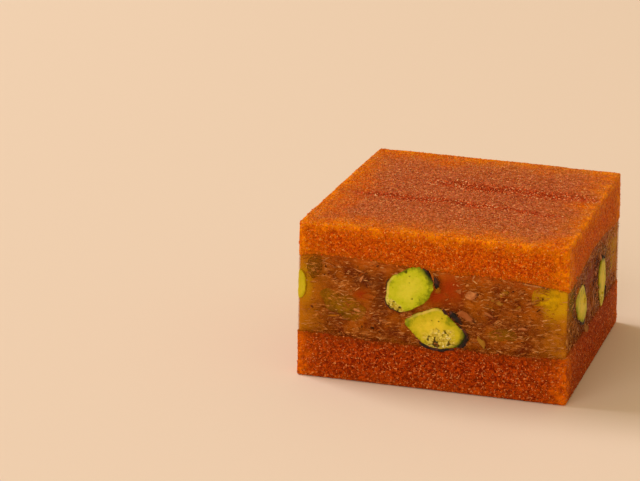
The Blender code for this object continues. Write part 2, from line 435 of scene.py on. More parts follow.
# %% Layer surfaces
def round_edges(p, half, radius, roof=None, floor=None):
    """With p on the box and q = p held inside the box shrunk by radius, the rounded point is
    q + radius * (p - q) / |p - q|, and (p - q) / |p - q| is the way it looks."""
    q = p.copy()
    q[:, :2] = np.clip(p[:, :2], radius - half, half - radius)
    if roof:
        q[:, 2] = np.minimum(q[:, 2], roof(p[:, 0], p[:, 1]) - radius)
    if floor:
        q[:, 2] = np.maximum(q[:, 2], floor(p[:, 0], p[:, 1]) + radius)
    out = p - q
    length = np.linalg.norm(out, axis=1, keepdims=True)
    out = out / np.maximum(length, 1e-9)
    return np.where(length > 1e-6, q + radius * out, p), out


def layer_surface(
    floor, roof, cell, inset=0.0, radius=0.5, round_roof=False, round_floor=False, grid_roof=False
):
    """Points of a layer before it is fitted into the cuts, the way each one looks, and the faces.
    Its sides are a ring of points at each level, at the height floor + level * (roof - floor);
    the floor is a fan from a middle point, and so is a roof that isn't seen."""
    half = np.array([HALF_WIDTH - inset, HALF_DEPTH - inset])
    floor_height, roof_height = float(np.mean(floor(0.0, 0.0))), float(np.mean(roof(0.0, 0.0)))
    nx, ny = (round(2 * h / cell) for h in half)
    rows = round((roof_height - floor_height) / cell)
    gx, gy = np.linspace(-half[0], half[0], nx + 1), np.linspace(-half[1], half[1], ny + 1)
    ring_x = np.concatenate([gx[:-1], np.full(ny, gx[-1]), gx[:0:-1], np.full(ny, gx[0])])
    ring_y = np.concatenate([np.full(nx, gy[0]), gy[:-1], np.full(nx, gy[-1]), gy[:0:-1]])
    count = len(ring_x)
    levels = np.linspace(0, 1, rows + 1)[:, None]
    low, high = floor(ring_x, ring_y), roof(ring_x, ring_y)
    side_z = low + (high - low) * levels
    side = np.stack(np.broadcast_arrays(ring_x, ring_y, side_z), -1)
    points = [side.reshape(-1, 3)]

    row, column = np.meshgrid(np.arange(rows), np.arange(count), indexing="ij")
    here, after = row * count + column, row * count + (column + 1) % count
    quads = [np.stack([here, after, after + count, here + count], -1).reshape(-1, 4)]
    triangles = []

    floor_middle = (rows + 1) * count
    points.append(np.array([[0.0, 0.0, floor_height]]))
    ring = np.arange(count)
    triangles.append(np.stack([np.full(count, floor_middle), (ring + 1) % count, ring], -1))
    top_ring = rows * count + ring
    if grid_roof:
        x, y = np.meshgrid(gx[1:-1], gy[1:-1])
        points.append(np.stack([x.ravel(), y.ravel(), roof(x.ravel(), y.ravel())], -1))
        index = np.empty((ny + 1, nx + 1), int)
        index[1:-1, 1:-1] = floor_middle + 1 + np.arange(x.size).reshape(x.shape)
        index[0, :-1] = top_ring[:nx]
        index[:-1, -1] = top_ring[nx : nx + ny]
        index[-1, :0:-1] = top_ring[nx + ny : 2 * nx + ny]
        index[:0:-1, 0] = top_ring[2 * nx + ny :]
        corners = index[:-1, :-1], index[:-1, 1:], index[1:, 1:], index[1:, :-1]
        quads.append(np.stack(corners, -1).reshape(-1, 4))
    else:
        roof_middle = floor_middle + 1
        points.append(np.array([[0.0, 0.0, roof_height]]))
        fan = [np.full(count, roof_middle), top_ring, np.roll(top_ring, -1)]
        triangles.append(np.stack(fan, -1))

    rounded, out = round_edges(
        np.concatenate(points), half, radius, roof if round_roof else None, floor if round_floor else None
    )
    return rounded, out, quads + triangles


def edge_closeness(points, reach):
    """1 on the block's outer edges, fading inwards: exp(-distance / reach), where the distance
    is the one to the second nearest of the block's outer faces, the nearest being its own. Light
    runs further in from the upright edges, so distances to the left and right cuts count only by
    a half and those to the front and back by about a third. The underside counts as one reach
    further off than it is, because no light comes from there."""
    x, y, z = points.T
    to_sides, to_ends = 0.5 * (HALF_WIDTH - abs(x)), 0.36 * (HALF_DEPTH - abs(y))
    walls = [to_sides, to_ends, block_top(x, y) - z, z + reach]
    second = np.sort(np.stack(walls), axis=0)[1]
    return np.exp(-np.maximum(second, 0) / reach)


box, out, faces = layer_surface(block_foot, block_top, 2.0)
print("the whole block as one coarse layer:", len(box), "points")

# %% [markdown]
# ## Crumb: one node group for everything grainy
#
# Fruit paste and the cut face of a nut are both packed grains. The group scatters cells of a
# given size, gives each one its own shade between a deep and a bright colour, strews pale
# flecks of any shape over them, and puts out the colour and a height for the bump.

# %% The crumb group
def crumb_group():
    """Warped Voronoi cells, each with its own shade, drifting darker and brighter; where a finer
    noise stands above a level lie pale flecks, and the share of them sets that level. The place
    is first multiplied by the grains per metre, so the sizes that follow are in grains."""
    tree = bpy.data.node_groups.new("Crumb", "ShaderNodeTree")
    for direction, kind, names in (
        ("INPUT", "Vector", ["Vector"]),
        ("INPUT", "Float", ["Scale", "Speck share"]),
        ("INPUT", "Color", ["Deep", "Bright", "Speck"]),
        ("OUTPUT", "Color", ["Color"]),
        ("OUTPUT", "Float", ["Height"]),
    ):
        for name in names:
            tree.interface.new_socket(name, in_out=direction, socket_type="NodeSocket" + kind)
    given = tree.nodes.new("NodeGroupInput").outputs
    result = tree.nodes.new("NodeGroupOutput").inputs
    scaled = {0: given["Vector"], "Scale": given["Scale"]}
    grain = wire(tree, "VectorMath", scaled, operation="SCALE").outputs[0]
    warp = wire(tree, "TexNoise", {"Vector": grain, "Scale": 0.6, "Detail": 3.0}).outputs["Color"]
    shift = wire(tree, "VectorMath", {0: warp, 1: (2.0, 2.0, 2.0)}, operation="MULTIPLY").outputs[0]
    place = wire(tree, "VectorMath", {0: grain, 1: shift}, operation="ADD").outputs[0]
    cells = wire(tree, "TexVoronoi", {"Vector": place, "Scale": 1.0}).outputs
    number = wire(tree, "SeparateColor", {"Color": cells["Color"]}).outputs["Red"]
    drift = ramp(tree, noise(tree, grain, 0.7, 4.0, 0.75), 0.36, 0.64, -0.25, 0.75)
    shade = reckon(tree, "MULTIPLY_ADD", number, 0.5, drift)
    colour = mix(tree, ramp(tree, shade, 0.2, 0.8), given["Deep"], given["Bright"])
    level = ramp(tree, given["Speck share"], 0.0, 1.0, 0.72, 0.42)
    above = reckon(tree, "SUBTRACT", noise(tree, place, 0.8, 2.0), level)
    colour = mix(tree, ramp(tree, above, 0.0, 0.045), colour, given["Speck"])
    tree.links.new(colour, result["Color"])
    tree.links.new(ramp(tree, cells["Distance"], 0.6, 0.2), result["Height"])
    return tree


CRUMB = crumb_group()


def crumb(tree, vector, scale, speck_share, deep, bright, speck):
    """Places the crumb group in a material with its own values; gives its colour and height."""
    node = tree.nodes.new("ShaderNodeGroup")
    node.node_tree = CRUMB
    tree.links.new(vector, node.inputs["Vector"])
    node.inputs["Scale"].default_value = scale
    node.inputs["Speck share"].default_value = speck_share
    for key, colour in (("Deep", deep), ("Bright", bright), ("Speck", speck)):
        node.inputs[key].default_value = (*from_srgb(*colour), 1.0)
    return node.outputs["Color"], node.outputs["Height"]


print("crumb group:", len(CRUMB.nodes), "nodes")

# %% [markdown]
# ## Fruit paste
#
# The paste is cooked fruit and semolina, dried until it can be cut. Light runs a millimetre
# or two through it, so its edges glow orange while the middle of a face stays red. The glow
# is partly real, by subsurface scattering, and partly painted from how close an edge is, both
# in the colour and as a weak emission.

# %% Fruit paste material
GRAINS_OF_CUT, GRAINS_OF_COARSE_CRUMB = 4200.0, 3200.0  # to the metre
CREASE_RED_AND_SHADOW = (158, 46, 8)


def paste_material(name, cut_shades, sheen_shades, glow, by_jelly):
    """Crumb in the shades of a cut face, and coarser crumb in duller, pinker shades on the top away
    from its rims, which is painted sheen; both go over to the glow at the edges, partly painted,
    and to the jelly's amber beside the seam."""
    material, tree, shader = new_material(
        name, Specular_IOR_Level=0.02, Emission_Strength=0.19,
        Subsurface_Weight=0.25, Subsurface_Scale=0.0009, Subsurface_Radius=(1.0, 0.32, 0.08),
    )
    place = wire(tree, "TexCoord").outputs["Object"]
    colour, height = crumb(tree, place, GRAINS_OF_CUT, 0.33, *cut_shades)
    sheened_crumb, coarse = crumb(tree, place, GRAINS_OF_COARSE_CRUMB, 0.33, *sheen_shades)
    # painted sheen: by the skin value, the top away from its rims takes the duller, pinker crumb
    colour = mix(tree, ramp(tree, read(tree, "skin"), 0.0, 1.0, 0.0, 0.8), colour, sheened_crumb)
    lumps = ramp(tree, noise(tree, place, 900.0, 3.0), 0.35, 0.65, 0.45, 1.35)
    uneven = reckon(tree, "MULTIPLY", read(tree, "edge"), lumps)
    colour = tint(tree, colour, glow, uneven, most=0.8)
    # the creases' colour: partly the red crumb's own, partly painted shade deepest between its grains
    colour = tint(tree, colour, CREASE_RED_AND_SHADOW, read(tree, "crease"), most=0.75)
    colour = tint(tree, colour, by_jelly, read(tree, "seam"), most=0.65)
    # painted glow: the edges' glow also shines as a weak emission
    lit = tint(tree, (0.0, 0.0, 0.0), glow, uneven, 0.35, 1.1)
    rough = ramp(tree, height, 0.0, 1.0, 0.6, 0.4)
    feed(tree, shader, Base_Color=colour, Emission_Color=lit, Roughness=rough)
    fine = noise(tree, place, 5000.0, 2.0)
    add_bump(tree, shader, reckon(tree, "MULTIPLY_ADD", coarse, fine, height), 0.9, 0.00025)
    return material


BASE_SHADES = (136, 34, 5), (214, 82, 10), (248, 156, 92)
TOP_CUT_SHADES = (196, 60, 4), (252, 114, 8), (255, 166, 74)
# the top's duller, pinker shades are painted sheen of the light from behind
TOP_SHEEN_SHADES = (148, 62, 32), (212, 114, 76), (250, 170, 122)
top_paste = paste_material(
    "fruit_paste_top", TOP_CUT_SHADES, TOP_SHEEN_SHADES, glow=(252, 144, 4), by_jelly=(210, 110, 10)
)
base_paste = paste_material(
    "fruit_paste_base", BASE_SHADES, BASE_SHADES, glow=(236, 112, 4), by_jelly=(150, 66, 10)
)
print("paste:", top_paste.name, "and", base_paste.name)

# %% [markdown]
# ## The two paste layers
#
# Real paste isn't a smooth box with a picture of grains on it. Its grains stand out by a few
# hundredths of a millimetre, the knife leaves slow waves, and shallow creases cross the top
# where the slab's skin tore a little as it dried and coarse red crumb shows. All of that moves
# the points themselves. The creases' colour also holds painted shade between the coarse grains.

# %% Relief of the paste
CELL = 0.15
GRAIN = 0.42
EDGE_RADIUS = 0.28
# Creases in the skin: y at the middle, slope, middle and reach along x, half width, depth
CREASES = (
    (3.6, -0.02, 5.5, 10.5, 1.3, 0.14),
    (-3.0, 0.0, -4.5, 9.0, 0.85, 0.13),
    (-3.8, -0.1, 9.5, 4.5, 0.6, 0.07),
)


def paste_relief(points):
    """Outward height of the crumb: round grains, coarser lumps and slow waves, added together."""
    grain, number = crumbs(points, GRAIN)
    lump = waves(points, 1.3, 1)
    slow = waves(points, 4.5, 2)
    return 0.075 * (0.6 - grain) * (0.5 + number) + 0.03 * lump + 0.05 * slow


def crease_depth(x, y):
    """Depth of the creases: each is a trough along a gently waving line, fading at its ends."""
    depth = np.zeros_like(x)
    for place, slope, middle, reach, half_width, deep in CREASES:
        line = place + slope * (x - middle) + 0.25 * np.sin(0.8 * x + place) + 0.12 * np.sin(2.1 * x)
        fade = np.exp(-(((x - middle) / reach) ** 4))
        depth += deep * fade * np.exp(-(((y - line) / half_width) ** 2))
    return depth


def ragged(x, y):
    """How far the paste has run past the seam, in mm: a coarse and a fine wave on a small overlap."""
    points = np.stack([x, y, np.zeros_like(x)], axis=-1).reshape(-1, 3)
    run = 0.06 + 0.15 * waves(points, 1.5, 17) + 0.12 * waves(points, 0.5, 18)
    return run.reshape(np.shape(x))


print("deepest crease, mm:", round(float(crease_depth(*np.mgrid[-15:15:99j, -5:5:99j]).max()), 2))

# %% [markdown]
# Each layer also carries four values for its material: how near an edge is, where the top lies
# away from its rims and takes painted sheen, where a crease has torn it, and how near the seam
# to the jelly is.

# %% Paste layers
TORN_CRUMB = 0.55  # size of the coarse crumb in the creases
EDGE_GLOW = 1.15  # how far the light runs in from an edge


def add_paste(name, node, floor, roof, material, **rounding):
    """One paste layer: the layer surface, its relief along the way it looks, fitted into the cuts.
    Gives back its points, the way each one looks and how deep in a crease it is, for the sugar."""
    box, out, faces = layer_surface(floor, roof, CELL, radius=EDGE_RADIUS, **rounding)
    x, y, z = box.T
    up = np.clip(out[:, 2], 0, 1)
    crease = crease_depth(x, y) * up
    torn, _ = crumbs(box, TORN_CRUMB, 3)
    flat_foot = np.where(z < 0.3, 0.0, 1.0)
    relief = (paste_relief(box) - crease * (0.2 + 2.4 * torn)) * flat_foot
    points = to_block(box + out * (relief - 0.02)[:, None])
    points[:, 2] = np.maximum(points[:, 2], 0.0)
    rim = np.minimum(HALF_WIDTH - abs(x), HALF_DEPTH - abs(y))
    # where the painted sheen lies: from the top's rims inwards, in patches
    sheen_spread = (rim + 0.4) / 5.5 + 0.7 * waves(box, 3.4, 19) + 0.35 * waves(box, 1.0, 29)
    seam = np.minimum(abs(z - lower_seam(x, y)), abs(z - upper_seam(x, y)))
    values = {
        "edge": edge_closeness(box, EDGE_GLOW) * (1 - 0.3 * up),
        # skin: the painted sheen on the top, away from its rims
        "skin": up * np.clip(sheen_spread, 0, 1),
        "crease": np.clip(crease / 0.06 * (0.3 + torn), 0, 1),
        "seam": np.exp(-seam / 0.6) * (1 + 0.6 * waves(box, 1.0, 30)),
    }
    add_mesh(name, points, faces, material, values, stands_for=[node])
    return points, out, crease


base_points, base_out, _ = add_paste(
    "paste_base_layer", "paste_base", block_foot, lambda x, y: lower_seam(x, y) + ragged(x, y),
    base_paste, round_floor=True,
)
top_points, top_out, top_crease = add_paste(
    "paste_top_layer", "paste_top", lambda x, y: upper_seam(x, y) - ragged(x, y), block_top,
    top_paste, round_roof=True, grid_roof=True,
)

# %% [markdown]
# ## Jelly
#
# Clear jelly with shreds in it can't be one painted surface: an eye sees a little way in.
# It is built as two surfaces. Inside is a dark amber core, and round it, flush with the knife's
# cuts, a clear skin that lets a good half of what is behind it show. Nuts and shreds stand
# between the two, and tint towards amber the deeper they lie. Near the block's upright edges
# light comes in from two sides, so the jelly there is yellower, and the core comes up to it.
# Its colour also changes from place to place, so three short lists say where it is clouded,
# golden or clear, and each entry is a soft round patch on one of the cuts.

# %% Patches of the jelly
# cut, place along it, height, reach along and up: where dark skins cloud the jelly, where a nut
# behind it makes it golden, and where nothing hangs in it and it is clear red
CLOUDED = (
    ("front", -8.8, 13.0, 2.2, 1.2), ("front", -12.0, 8.6, 2.0, 0.9), ("front", 4.4, 8.8, 1.6, 0.9),
    ("front", -6.8, 10.4, 0.9, 1.6), ("front", 3.0, 9.7, 1.2, 0.7), ("front", 9.0, 9.0, 2.5, 1.0),
    ("right", -4.0, 12.4, 2.6, 1.6), ("right", -1.0, 14.2, 2.6, 1.2), ("right", -9.0, 7.2, 2.4, 1.0),
    ("right", 6.6, 12.0, 1.8, 1.2), ("left", 2.5, 12.8, 2.8, 1.2), ("left", -6.0, 8.0, 2.2, 1.2),
    ("back", 2.5, 12.0, 3.0, 1.4), ("back", -10.5, 8.0, 2.4, 1.2), ("back", 11.5, 8.5, 2.4, 1.2),
)
GOLDEN = (
    ("front", 14.7, 12.5, 2.1, 1.5), ("front", -16.2, 12.0, 0.9, 2.0),
    ("right", -13.0, 12.0, 1.4, 2.4), ("right", 12.5, 11.0, 2.0, 2.0), ("left", 9.5, 8.4, 2.0, 1.2),
    ("back", 12.0, 12.2, 2.0, 1.4), ("back", -12.5, 9.4, 2.0, 1.4),
)
CLEAR = (
    ("front", 1.6, 13.0, 1.5, 2.2), ("front", -9.0, 11.0, 1.0, 0.5), ("front", -0.2, 11.6, 0.9, 0.9),
    ("right", 0.5, 11.5, 2.0, 1.5), ("left", 11.0, 12.0, 2.5, 1.6), ("left", -13.0, 8.0, 1.6, 1.6),
    ("back", -3.0, 8.0, 2.4, 1.4), ("back", 13.0, 12.5, 1.6, 1.6),
)


def cut_axes(cut):
    """Along and up in the plane of that cut as it is seen from outside, and its outward normal."""
    normal = CUTS[cut][0]
    along = np.cross([0.0, 0.0, 1.0], normal)
    along /= np.linalg.norm(along)
    return along, np.cross(normal, along), normal


def patches(points, table):
    """How much each point lies in one of the table's soft patches: the sum of
    exp(-(along / reach)^2 - (up / reach)^2), for points within 3 mm of the patch's cut."""
    total = np.zeros(len(points))
    for cut, along_by, height, reach_along, reach_up in table:
        along, _, normal = cut_axes(cut)
        near = points @ normal > CUTS[cut][1] - 3.0
        sideways = ((points @ along - along_by) / reach_along) ** 2
        total += np.exp(-(sideways + ((points[:, 2] - height) / reach_up) ** 2)) * near
    return np.clip(total, 0, 1)


def upright_edge_closeness(box, reach):
    """1 on the block's four upright edges, fading inwards: exp(-(distance / reach)^2)."""
    walls = np.stack([HALF_WIDTH - abs(box[:, 0]), HALF_DEPTH - abs(box[:, 1])])
    return np.exp(-((np.maximum(walls.max(axis=0), 0) / reach) ** 2))


def amber_values(box, points, reach):
    """The values that the jelly's materials read at each point. Just under the upper seam the
    paste's colour shines into the jelly, by exp(-(distance below the seam / 1.1)^2)."""
    below = upper_seam(points[:, 0], points[:, 1]) - points[:, 2]
    under_paste = np.exp(-((below / 1.1) ** 2))
    return {
        "edge": upright_edge_closeness(box, reach),
        "under_paste": np.clip(under_paste * (1 + 0.5 * waves(points, 0.9, 34)), 0, 1),
        "clouded": np.clip(patches(points, CLOUDED) + 0.25 * waves(points, 1.6, 24), 0, 1),
        "clear": np.clip(patches(points, CLEAR) + 0.15 * waves(points, 1.2, 25), 0, 1),
        "golden": np.clip(patches(points, GOLDEN) * (1 + 0.5 * waves(points, 1.1, 31)), 0, 1),
    }


print("patches:", len(CLOUDED), "clouded,", len(GOLDEN), "golden,", len(CLEAR), "clear")

# %% [markdown]
# ## Colours of the jelly
#
# Core and skin share one recipe for their ground colour: two ambers in slow clouds, with a
# shade laid over them for every kind of patch. The skin adds streaks, because the knife draws
# the shreds out along the cut; the pale streaks are partly painted highlights, and the dark ones
# partly painted shade. A streak is also less clear than the jelly beside it, so the same value
# drives the skin's Alpha.

# %% Jelly materials
# value, where its shade begins and is full, and the most that it covers
AMBER_SHADES = (
    ("clouded", 0.1, 0.9, 0.65), ("clear", 0.1, 0.9, 0.9), ("under_paste", 0.0, 1.0, 0.75),
    ("edge", 0.05, 0.95, 0.9), ("golden", 0.1, 0.9, 0.85),
)
# value, where it begins and ends to calm the streaks, and what it leaves of them
STREAKS_CALMED = (("clear", 0.1, 0.7, 0.15), ("edge", 0.3, 0.9, 0.65), ("golden", 0.1, 0.6, 0.25))


def amber_colour(tree, place, deep, plain, **shades):
    """The jelly's ground colour: slow clouds between two ambers, and over them one shade for
    each of the values that the mesh carries."""
    cloud = noise(tree, place, 420.0, 5.0, 0.7)
    colour = tint(tree, from_srgb(*deep), plain, cloud, 0.42, 0.58)
    for name, low, high, most in AMBER_SHADES:
        colour = tint(tree, colour, shades[name], read(tree, name), low, high, most)
    return colour


def jelly_core_material():
    """What shows in the jelly's depth: the ground colour alone, with nearly no gloss."""
    material, tree, shader = new_material("amber_depth", Roughness=0.6, Specular_IOR_Level=0.1)
    place = wire(tree, "TexCoord").outputs["Object"]
    colour = amber_colour(
        tree, place, (128, 46, 4), (202, 106, 8), clouded=(104, 42, 12), clear=(186, 60, 2),
        under_paste=(222, 108, 18), edge=(210, 132, 8), golden=(226, 180, 8),
    )
    feed(tree, shader, Base_Color=colour)
    return material


def jelly_skin_material():
    """The skin over it: fine noise, drawn out along the cuts, gives pale streaks above one level
    and dark ones below another, partly painted highlights and painted shade, and the skin is most
    opaque on the streaks."""
    material, tree, shader = new_material("amber_skin", Roughness=0.3, Specular_IOR_Level=0.03)
    place = wire(tree, "TexCoord").outputs["Object"]
    colour = amber_colour(
        tree, place, (136, 56, 8), (194, 106, 14), clouded=(112, 50, 20), clear=(176, 60, 3),
        under_paste=(222, 108, 18), edge=(200, 126, 10), golden=(224, 174, 10),
    )
    drawn_out = {"Vector": place, "Rotation": (0.0, -0.14, 0.0), "Scale": (0.4, 0.4, 1.2)}
    streak = noise(tree, wire(tree, "Mapping", drawn_out).outputs["Vector"], 2700.0, 5.0, 0.85)
    calm = ramp(tree, noise(tree, place, 600.0, 3.0), 0.36, 0.58, 0.25, 1.0)
    for name, low, high, least in STREAKS_CALMED:
        calm = reckon(tree, "MULTIPLY", calm, ramp(tree, read(tree, name), low, high, 1.0, least))
    pale = reckon(tree, "MULTIPLY", ramp(tree, streak, 0.53, 0.62), calm)
    dark = reckon(tree, "MULTIPLY", ramp(tree, streak, 0.48, 0.38), calm)
    # the dark streaks are partly painted shade, the pale ones partly painted highlights
    colour = tint(tree, colour, (84, 28, 5), dark, most=0.8)
    colour = tint(tree, colour, (226, 150, 82), pale, most=0.95)
    cover = reckon(tree, "MAXIMUM", pale, ramp(tree, dark, 0.0, 1.0, 0.0, 0.6))
    feed(tree, shader, Base_Color=colour, Alpha=ramp(tree, cover, 0.0, 1.0, 0.28, 0.92))
    add_bump(tree, shader, streak, 0.5, 0.0001)
    return material


# %% [markdown]
# ## Core and skin
#
# The core is the jelly's layer surface, drawn in by less than a millimetre on the faces and by
# nearly nothing at the upright edges. The skin is the same surface at full size, and it runs
# on a little way into the paste, so that no gap shows at the seams.

# %% Jelly core
CORE_INSET, CORE_EDGE_INSET = 0.8, 0.12  # how deep the core lies, and by the upright edges

box, out, faces = layer_surface(lower_seam, upper_seam, 0.4, inset=CORE_EDGE_INSET, radius=0.25)
core_depth = CORE_INSET - CORE_EDGE_INSET + 0.12 * waves(box, 2.2, 3)
core_depth = core_depth * (1 - upright_edge_closeness(box, 1.4))
core_points = to_block(box - out * core_depth[:, None])
add_mesh(
    "jelly_core", core_points, faces, jelly_core_material(), amber_values(box, core_points, 3.4),
    stands_for=["jelly"],
)

# %% Jelly skin
TUCKED_IN = 0.3  # how far the skin runs on into the paste, above and below


def skin_floor(x, y):
    """The lower seam, lowered by what is tucked in."""
    return lower_seam(x, y) - TUCKED_IN


def skin_roof(x, y):
    """The upper seam, raised by what is tucked in."""
    return upper_seam(x, y) + TUCKED_IN


box, out, faces = layer_surface(skin_floor, skin_roof, 0.2, radius=EDGE_RADIUS)
x, y, z = box.T
near_seam = np.minimum(upper_seam(x, y) - z, z - lower_seam(x, y))
skin_relief = 0.03 * waves(box, 3.0, 4) + 0.025 * waves(box * [1, 1, 2.5], 0.8, 5) - 0.05
skin_relief -= 0.05 * np.clip(1 - near_seam / 0.35, 0, 1)
skin_points = to_block(box + out * skin_relief[:, None])
add_mesh(
    "jelly_skin", skin_points, faces, jelly_skin_material(), amber_values(box, skin_points, 3.0),
)

# %% [markdown]
# ## Sliced pistachios
#
# The knife has gone through some of the kernels. Each one is a disc and a bowl in one surface:
# rings from the middle of the slice out to its rim, and then on down round the hidden side to
# a pole inside the jelly. An outline is a radius for every angle, made a little irregular.
# Pistachio flesh is yellow at the heart and green near its skin, and where the knife dragged it
# has crumbled to pale meal.

# %% Kernel material
# the hole and pit colours are painted shadow in the meal's recesses; the tip's is partly painted shade
LIP_SHADE, HOLE_SHADOW, PIT_SHADOW, TIP_AND_SHADOW = (238, 208, 106), (62, 46, 4), (96, 78, 6), (46, 56, 26)
MEAL_SHADES = (190, 164, 40), (244, 226, 112), (255, 248, 190)


def kernel_material(name, heart, flesh, rim, shadow=(42, 40, 8)):
    """Shades from the heart to the rim, moved in and out by clouds, with a pale lip on one side;
    over them crumbled meal, painted shadow in its holes and fine pits, and the dark tip, partly
    painted shade."""
    material, tree, shader = new_material(
        name, Specular_IOR_Level=0.04,
        Subsurface_Weight=0.2, Subsurface_Scale=0.0006, Subsurface_Radius=(1.0, 0.8, 0.2),
    )
    place = wire(tree, "TexCoord").outputs["Object"]
    out, meal = read(tree, "outwards"), read(tree, "meal")
    cloud = ramp(tree, noise(tree, place, 1000.0, 5.0, 0.65), 0.3, 0.7, -0.34, 0.34)
    drift = reckon(tree, "ADD", cloud, out)
    colour = tint(tree, from_srgb(*heart), flesh, drift, 0.2, 0.75)
    colour = tint(tree, colour, rim, drift, 0.8, 1.08)
    colour = tint(tree, colour, shadow, out, 0.97, 1.06)
    colour = tint(tree, colour, LIP_SHADE, read(tree, "lip"), 0.2, 0.9, 0.75)
    grains, height = crumb(tree, place, 3600.0, 0.35, *MEAL_SHADES)
    colour = mix(tree, ramp(tree, meal, 0.1, 0.6, 0.0, 0.9), colour, grains)
    # painted shadow in the holes and fine pits of the meal
    colour = tint(tree, colour, HOLE_SHADOW, read(tree, "hole_shadow"), 0.1, 0.6, 0.92)
    pit = noise(tree, place, 3400.0, 3.0)
    in_meal = ramp(tree, meal, 0.0, 0.6, 0.1, 0.75)
    pit_shadow = reckon(tree, "MULTIPLY", ramp(tree, pit, 0.40, 0.30), in_meal)
    colour = mix(tree, pit_shadow, colour, from_srgb(*PIT_SHADOW))
    # the dark tip: partly the kernel's own dark end, partly painted shade where its rim turns from the
    # light
    colour = mix(tree, read(tree, "dark"), colour, from_srgb(*TIP_AND_SHADOW))
    feed(tree, shader, Base_Color=colour, Roughness=ramp(tree, meal, 0.0, 1.0, 0.42, 0.8))
    add_bump(tree, shader, reckon(tree, "MULTIPLY_ADD", height, meal, pit), 0.6, 0.0001)
    return material


green_kernel = kernel_material("pistachio_green", (226, 220, 62), (202, 208, 34), (142, 154, 16))
gold_kernel = kernel_material("pistachio_gold", (236, 212, 58), (208, 194, 34), (136, 146, 14))
edge_kernel = kernel_material(
    "pistachio_by_edge", (216, 196, 40), (198, 178, 24), (184, 152, 14), shadow=(170, 128, 10)
)
print("kernels:", green_kernel.name, gold_kernel.name, edge_kernel.name)

# %% [markdown]
# The three slices that are seen best have outlines of their own, listed one by one. The others
# keep the outline of the solid, read back from its points, with a few corners drawn out or
# pressed in, as a kernel is pointed and uneven.

# %% Where the kernels are sliced, and their outlines
# node: the cut, the material, how deep the hidden bowl goes, the crumbled spot (angle, distance
#       from the middle as a share, reach round and outwards in mm) and the dark tip, partly painted
#       shade where the rim turns from the light (angle, spread)
KERNELS = {
    "pistachio_front_upper": ("front", green_kernel, 2.3, (236, 0.90, 2.1, 0.6), (45, 22)),
    "pistachio_front_lower": ("front", gold_kernel, 2.2, (286, 0.56, 1.9, 1.35), (338, 26)),
    "pistachio_corner": ("left", edge_kernel, 1.0, (200, 0.9, 0.6, 0.6), (270, 10)),
    "pistachio_right_near": ("right", gold_kernel, 2.2, (20, 0.6, 0.7, 0.7), (318, 26)),
    "pistachio_right_far": ("right", gold_kernel, 2.0, (250, 0.7, 0.6, 0.6), (90, 16)),
    "pistachio_left_middle": ("left", gold_kernel, 2.2, (100, 0.5, 1.0, 0.8), (330, 22)),
    "pistachio_left_back": ("left", green_kernel, 2.2, (320, 0.7, 0.9, 0.7), (50, 20)),
    "pistachio_back_low": ("back", green_kernel, 2.2, (190, 0.6, 1.2, 0.8), (15, 20)),
    "pistachio_back_high": ("back", gold_kernel, 2.3, (60, 0.7, 0.9, 0.7), (320, 22)),
}
# The outlines of three slices, as points across and up from the slice's middle in mm
OUTLINES = {
    "pistachio_front_upper": (
        (2.95, 0.45), (2.9, 1.15), (2.55, 1.95), (2.15, 2.5), (1.55, 2.9), (0.8, 2.98), (0.1, 2.75),
        (-0.7, 2.35), (-1.2, 1.95), (-2.0, 1.55), (-2.6, 0.85), (-2.75, 0.05), (-2.75, -0.95),
        (-2.85, -1.55), (-2.7, -2.2), (-2.2, -2.5), (-1.7, -2.6), (-1.4, -2.8), (-0.8, -2.75),
        (0.2, -2.55), (0.7, -2.2), (1.2, -1.85),
        (1.9, -1.45), (2.4, -0.85), (2.7, -0.15),
    ),
    "pistachio_front_lower": (
        (3.5, -0.75), (3.45, -0.3), (3.1, 0.2), (2.6, 0.6), (2.05, 1.1), (1.55, 1.6), (1.0, 2.0),
        (0.5, 2.5), (0.1, 2.68), (-0.5, 2.55), (-1.2, 2.25), (-1.8, 1.9), (-2.6, 1.6), (-3.3, 1.2),
        (-3.85, 0.75), (-4.0, 0.45),
        (-3.85, 0.1), (-3.3, -0.35), (-2.7, -1.0), (-2.1, -1.6), (-1.3, -2.1), (-0.5, -2.3), (0.4, -2.35),
        (1.2, -2.3), (2.0, -2.15), (2.7, -1.9), (3.25, -1.4),
    ),
    "pistachio_right_near": (
        (3.1, -1.4), (2.9, -0.6), (2.3, 0.4), (1.5, 1.3), (0.7, 2.3), (-0.5, 2.5), (-2.2, 2.1), (-3.3, 1.7),
        (-3.6, 1.0), (-2.9, 0.3), (-2.2, -0.4), (-1.2, -1.4), (-0.1, -2.1), (1.1, -2.4), (2.2, -2.2),
    ),
}
# The others keep the solid's outline, drawn out at some angles: angle, how far in mm, spread
CORNERS = {
    "pistachio_corner": ((150, 0.1, 20),),
    "pistachio_right_far": ((98, 0.2, 14), (270, 0.35, 16), (0, 0.15, 20)),
    "pistachio_left_middle": ((150, 0.35, 14), (330, 0.1, 20), (60, -0.2, 20)),
    "pistachio_left_back": ((50, 0.2, 20), (230, 0.35, 16), (320, -0.2, 20)),
    "pistachio_back_low": ((15, 0.35, 14), (200, 0.2, 18), (110, -0.25, 22)),
    "pistachio_back_high": ((320, 0.3, 16), (140, 0.3, 16), (40, -0.2, 20)),
}
print(len(KERNELS), "kernels,", len(OUTLINES), "outlines drawn by hand")

# %% Outline of a slice
KERNEL_COLUMNS = 96


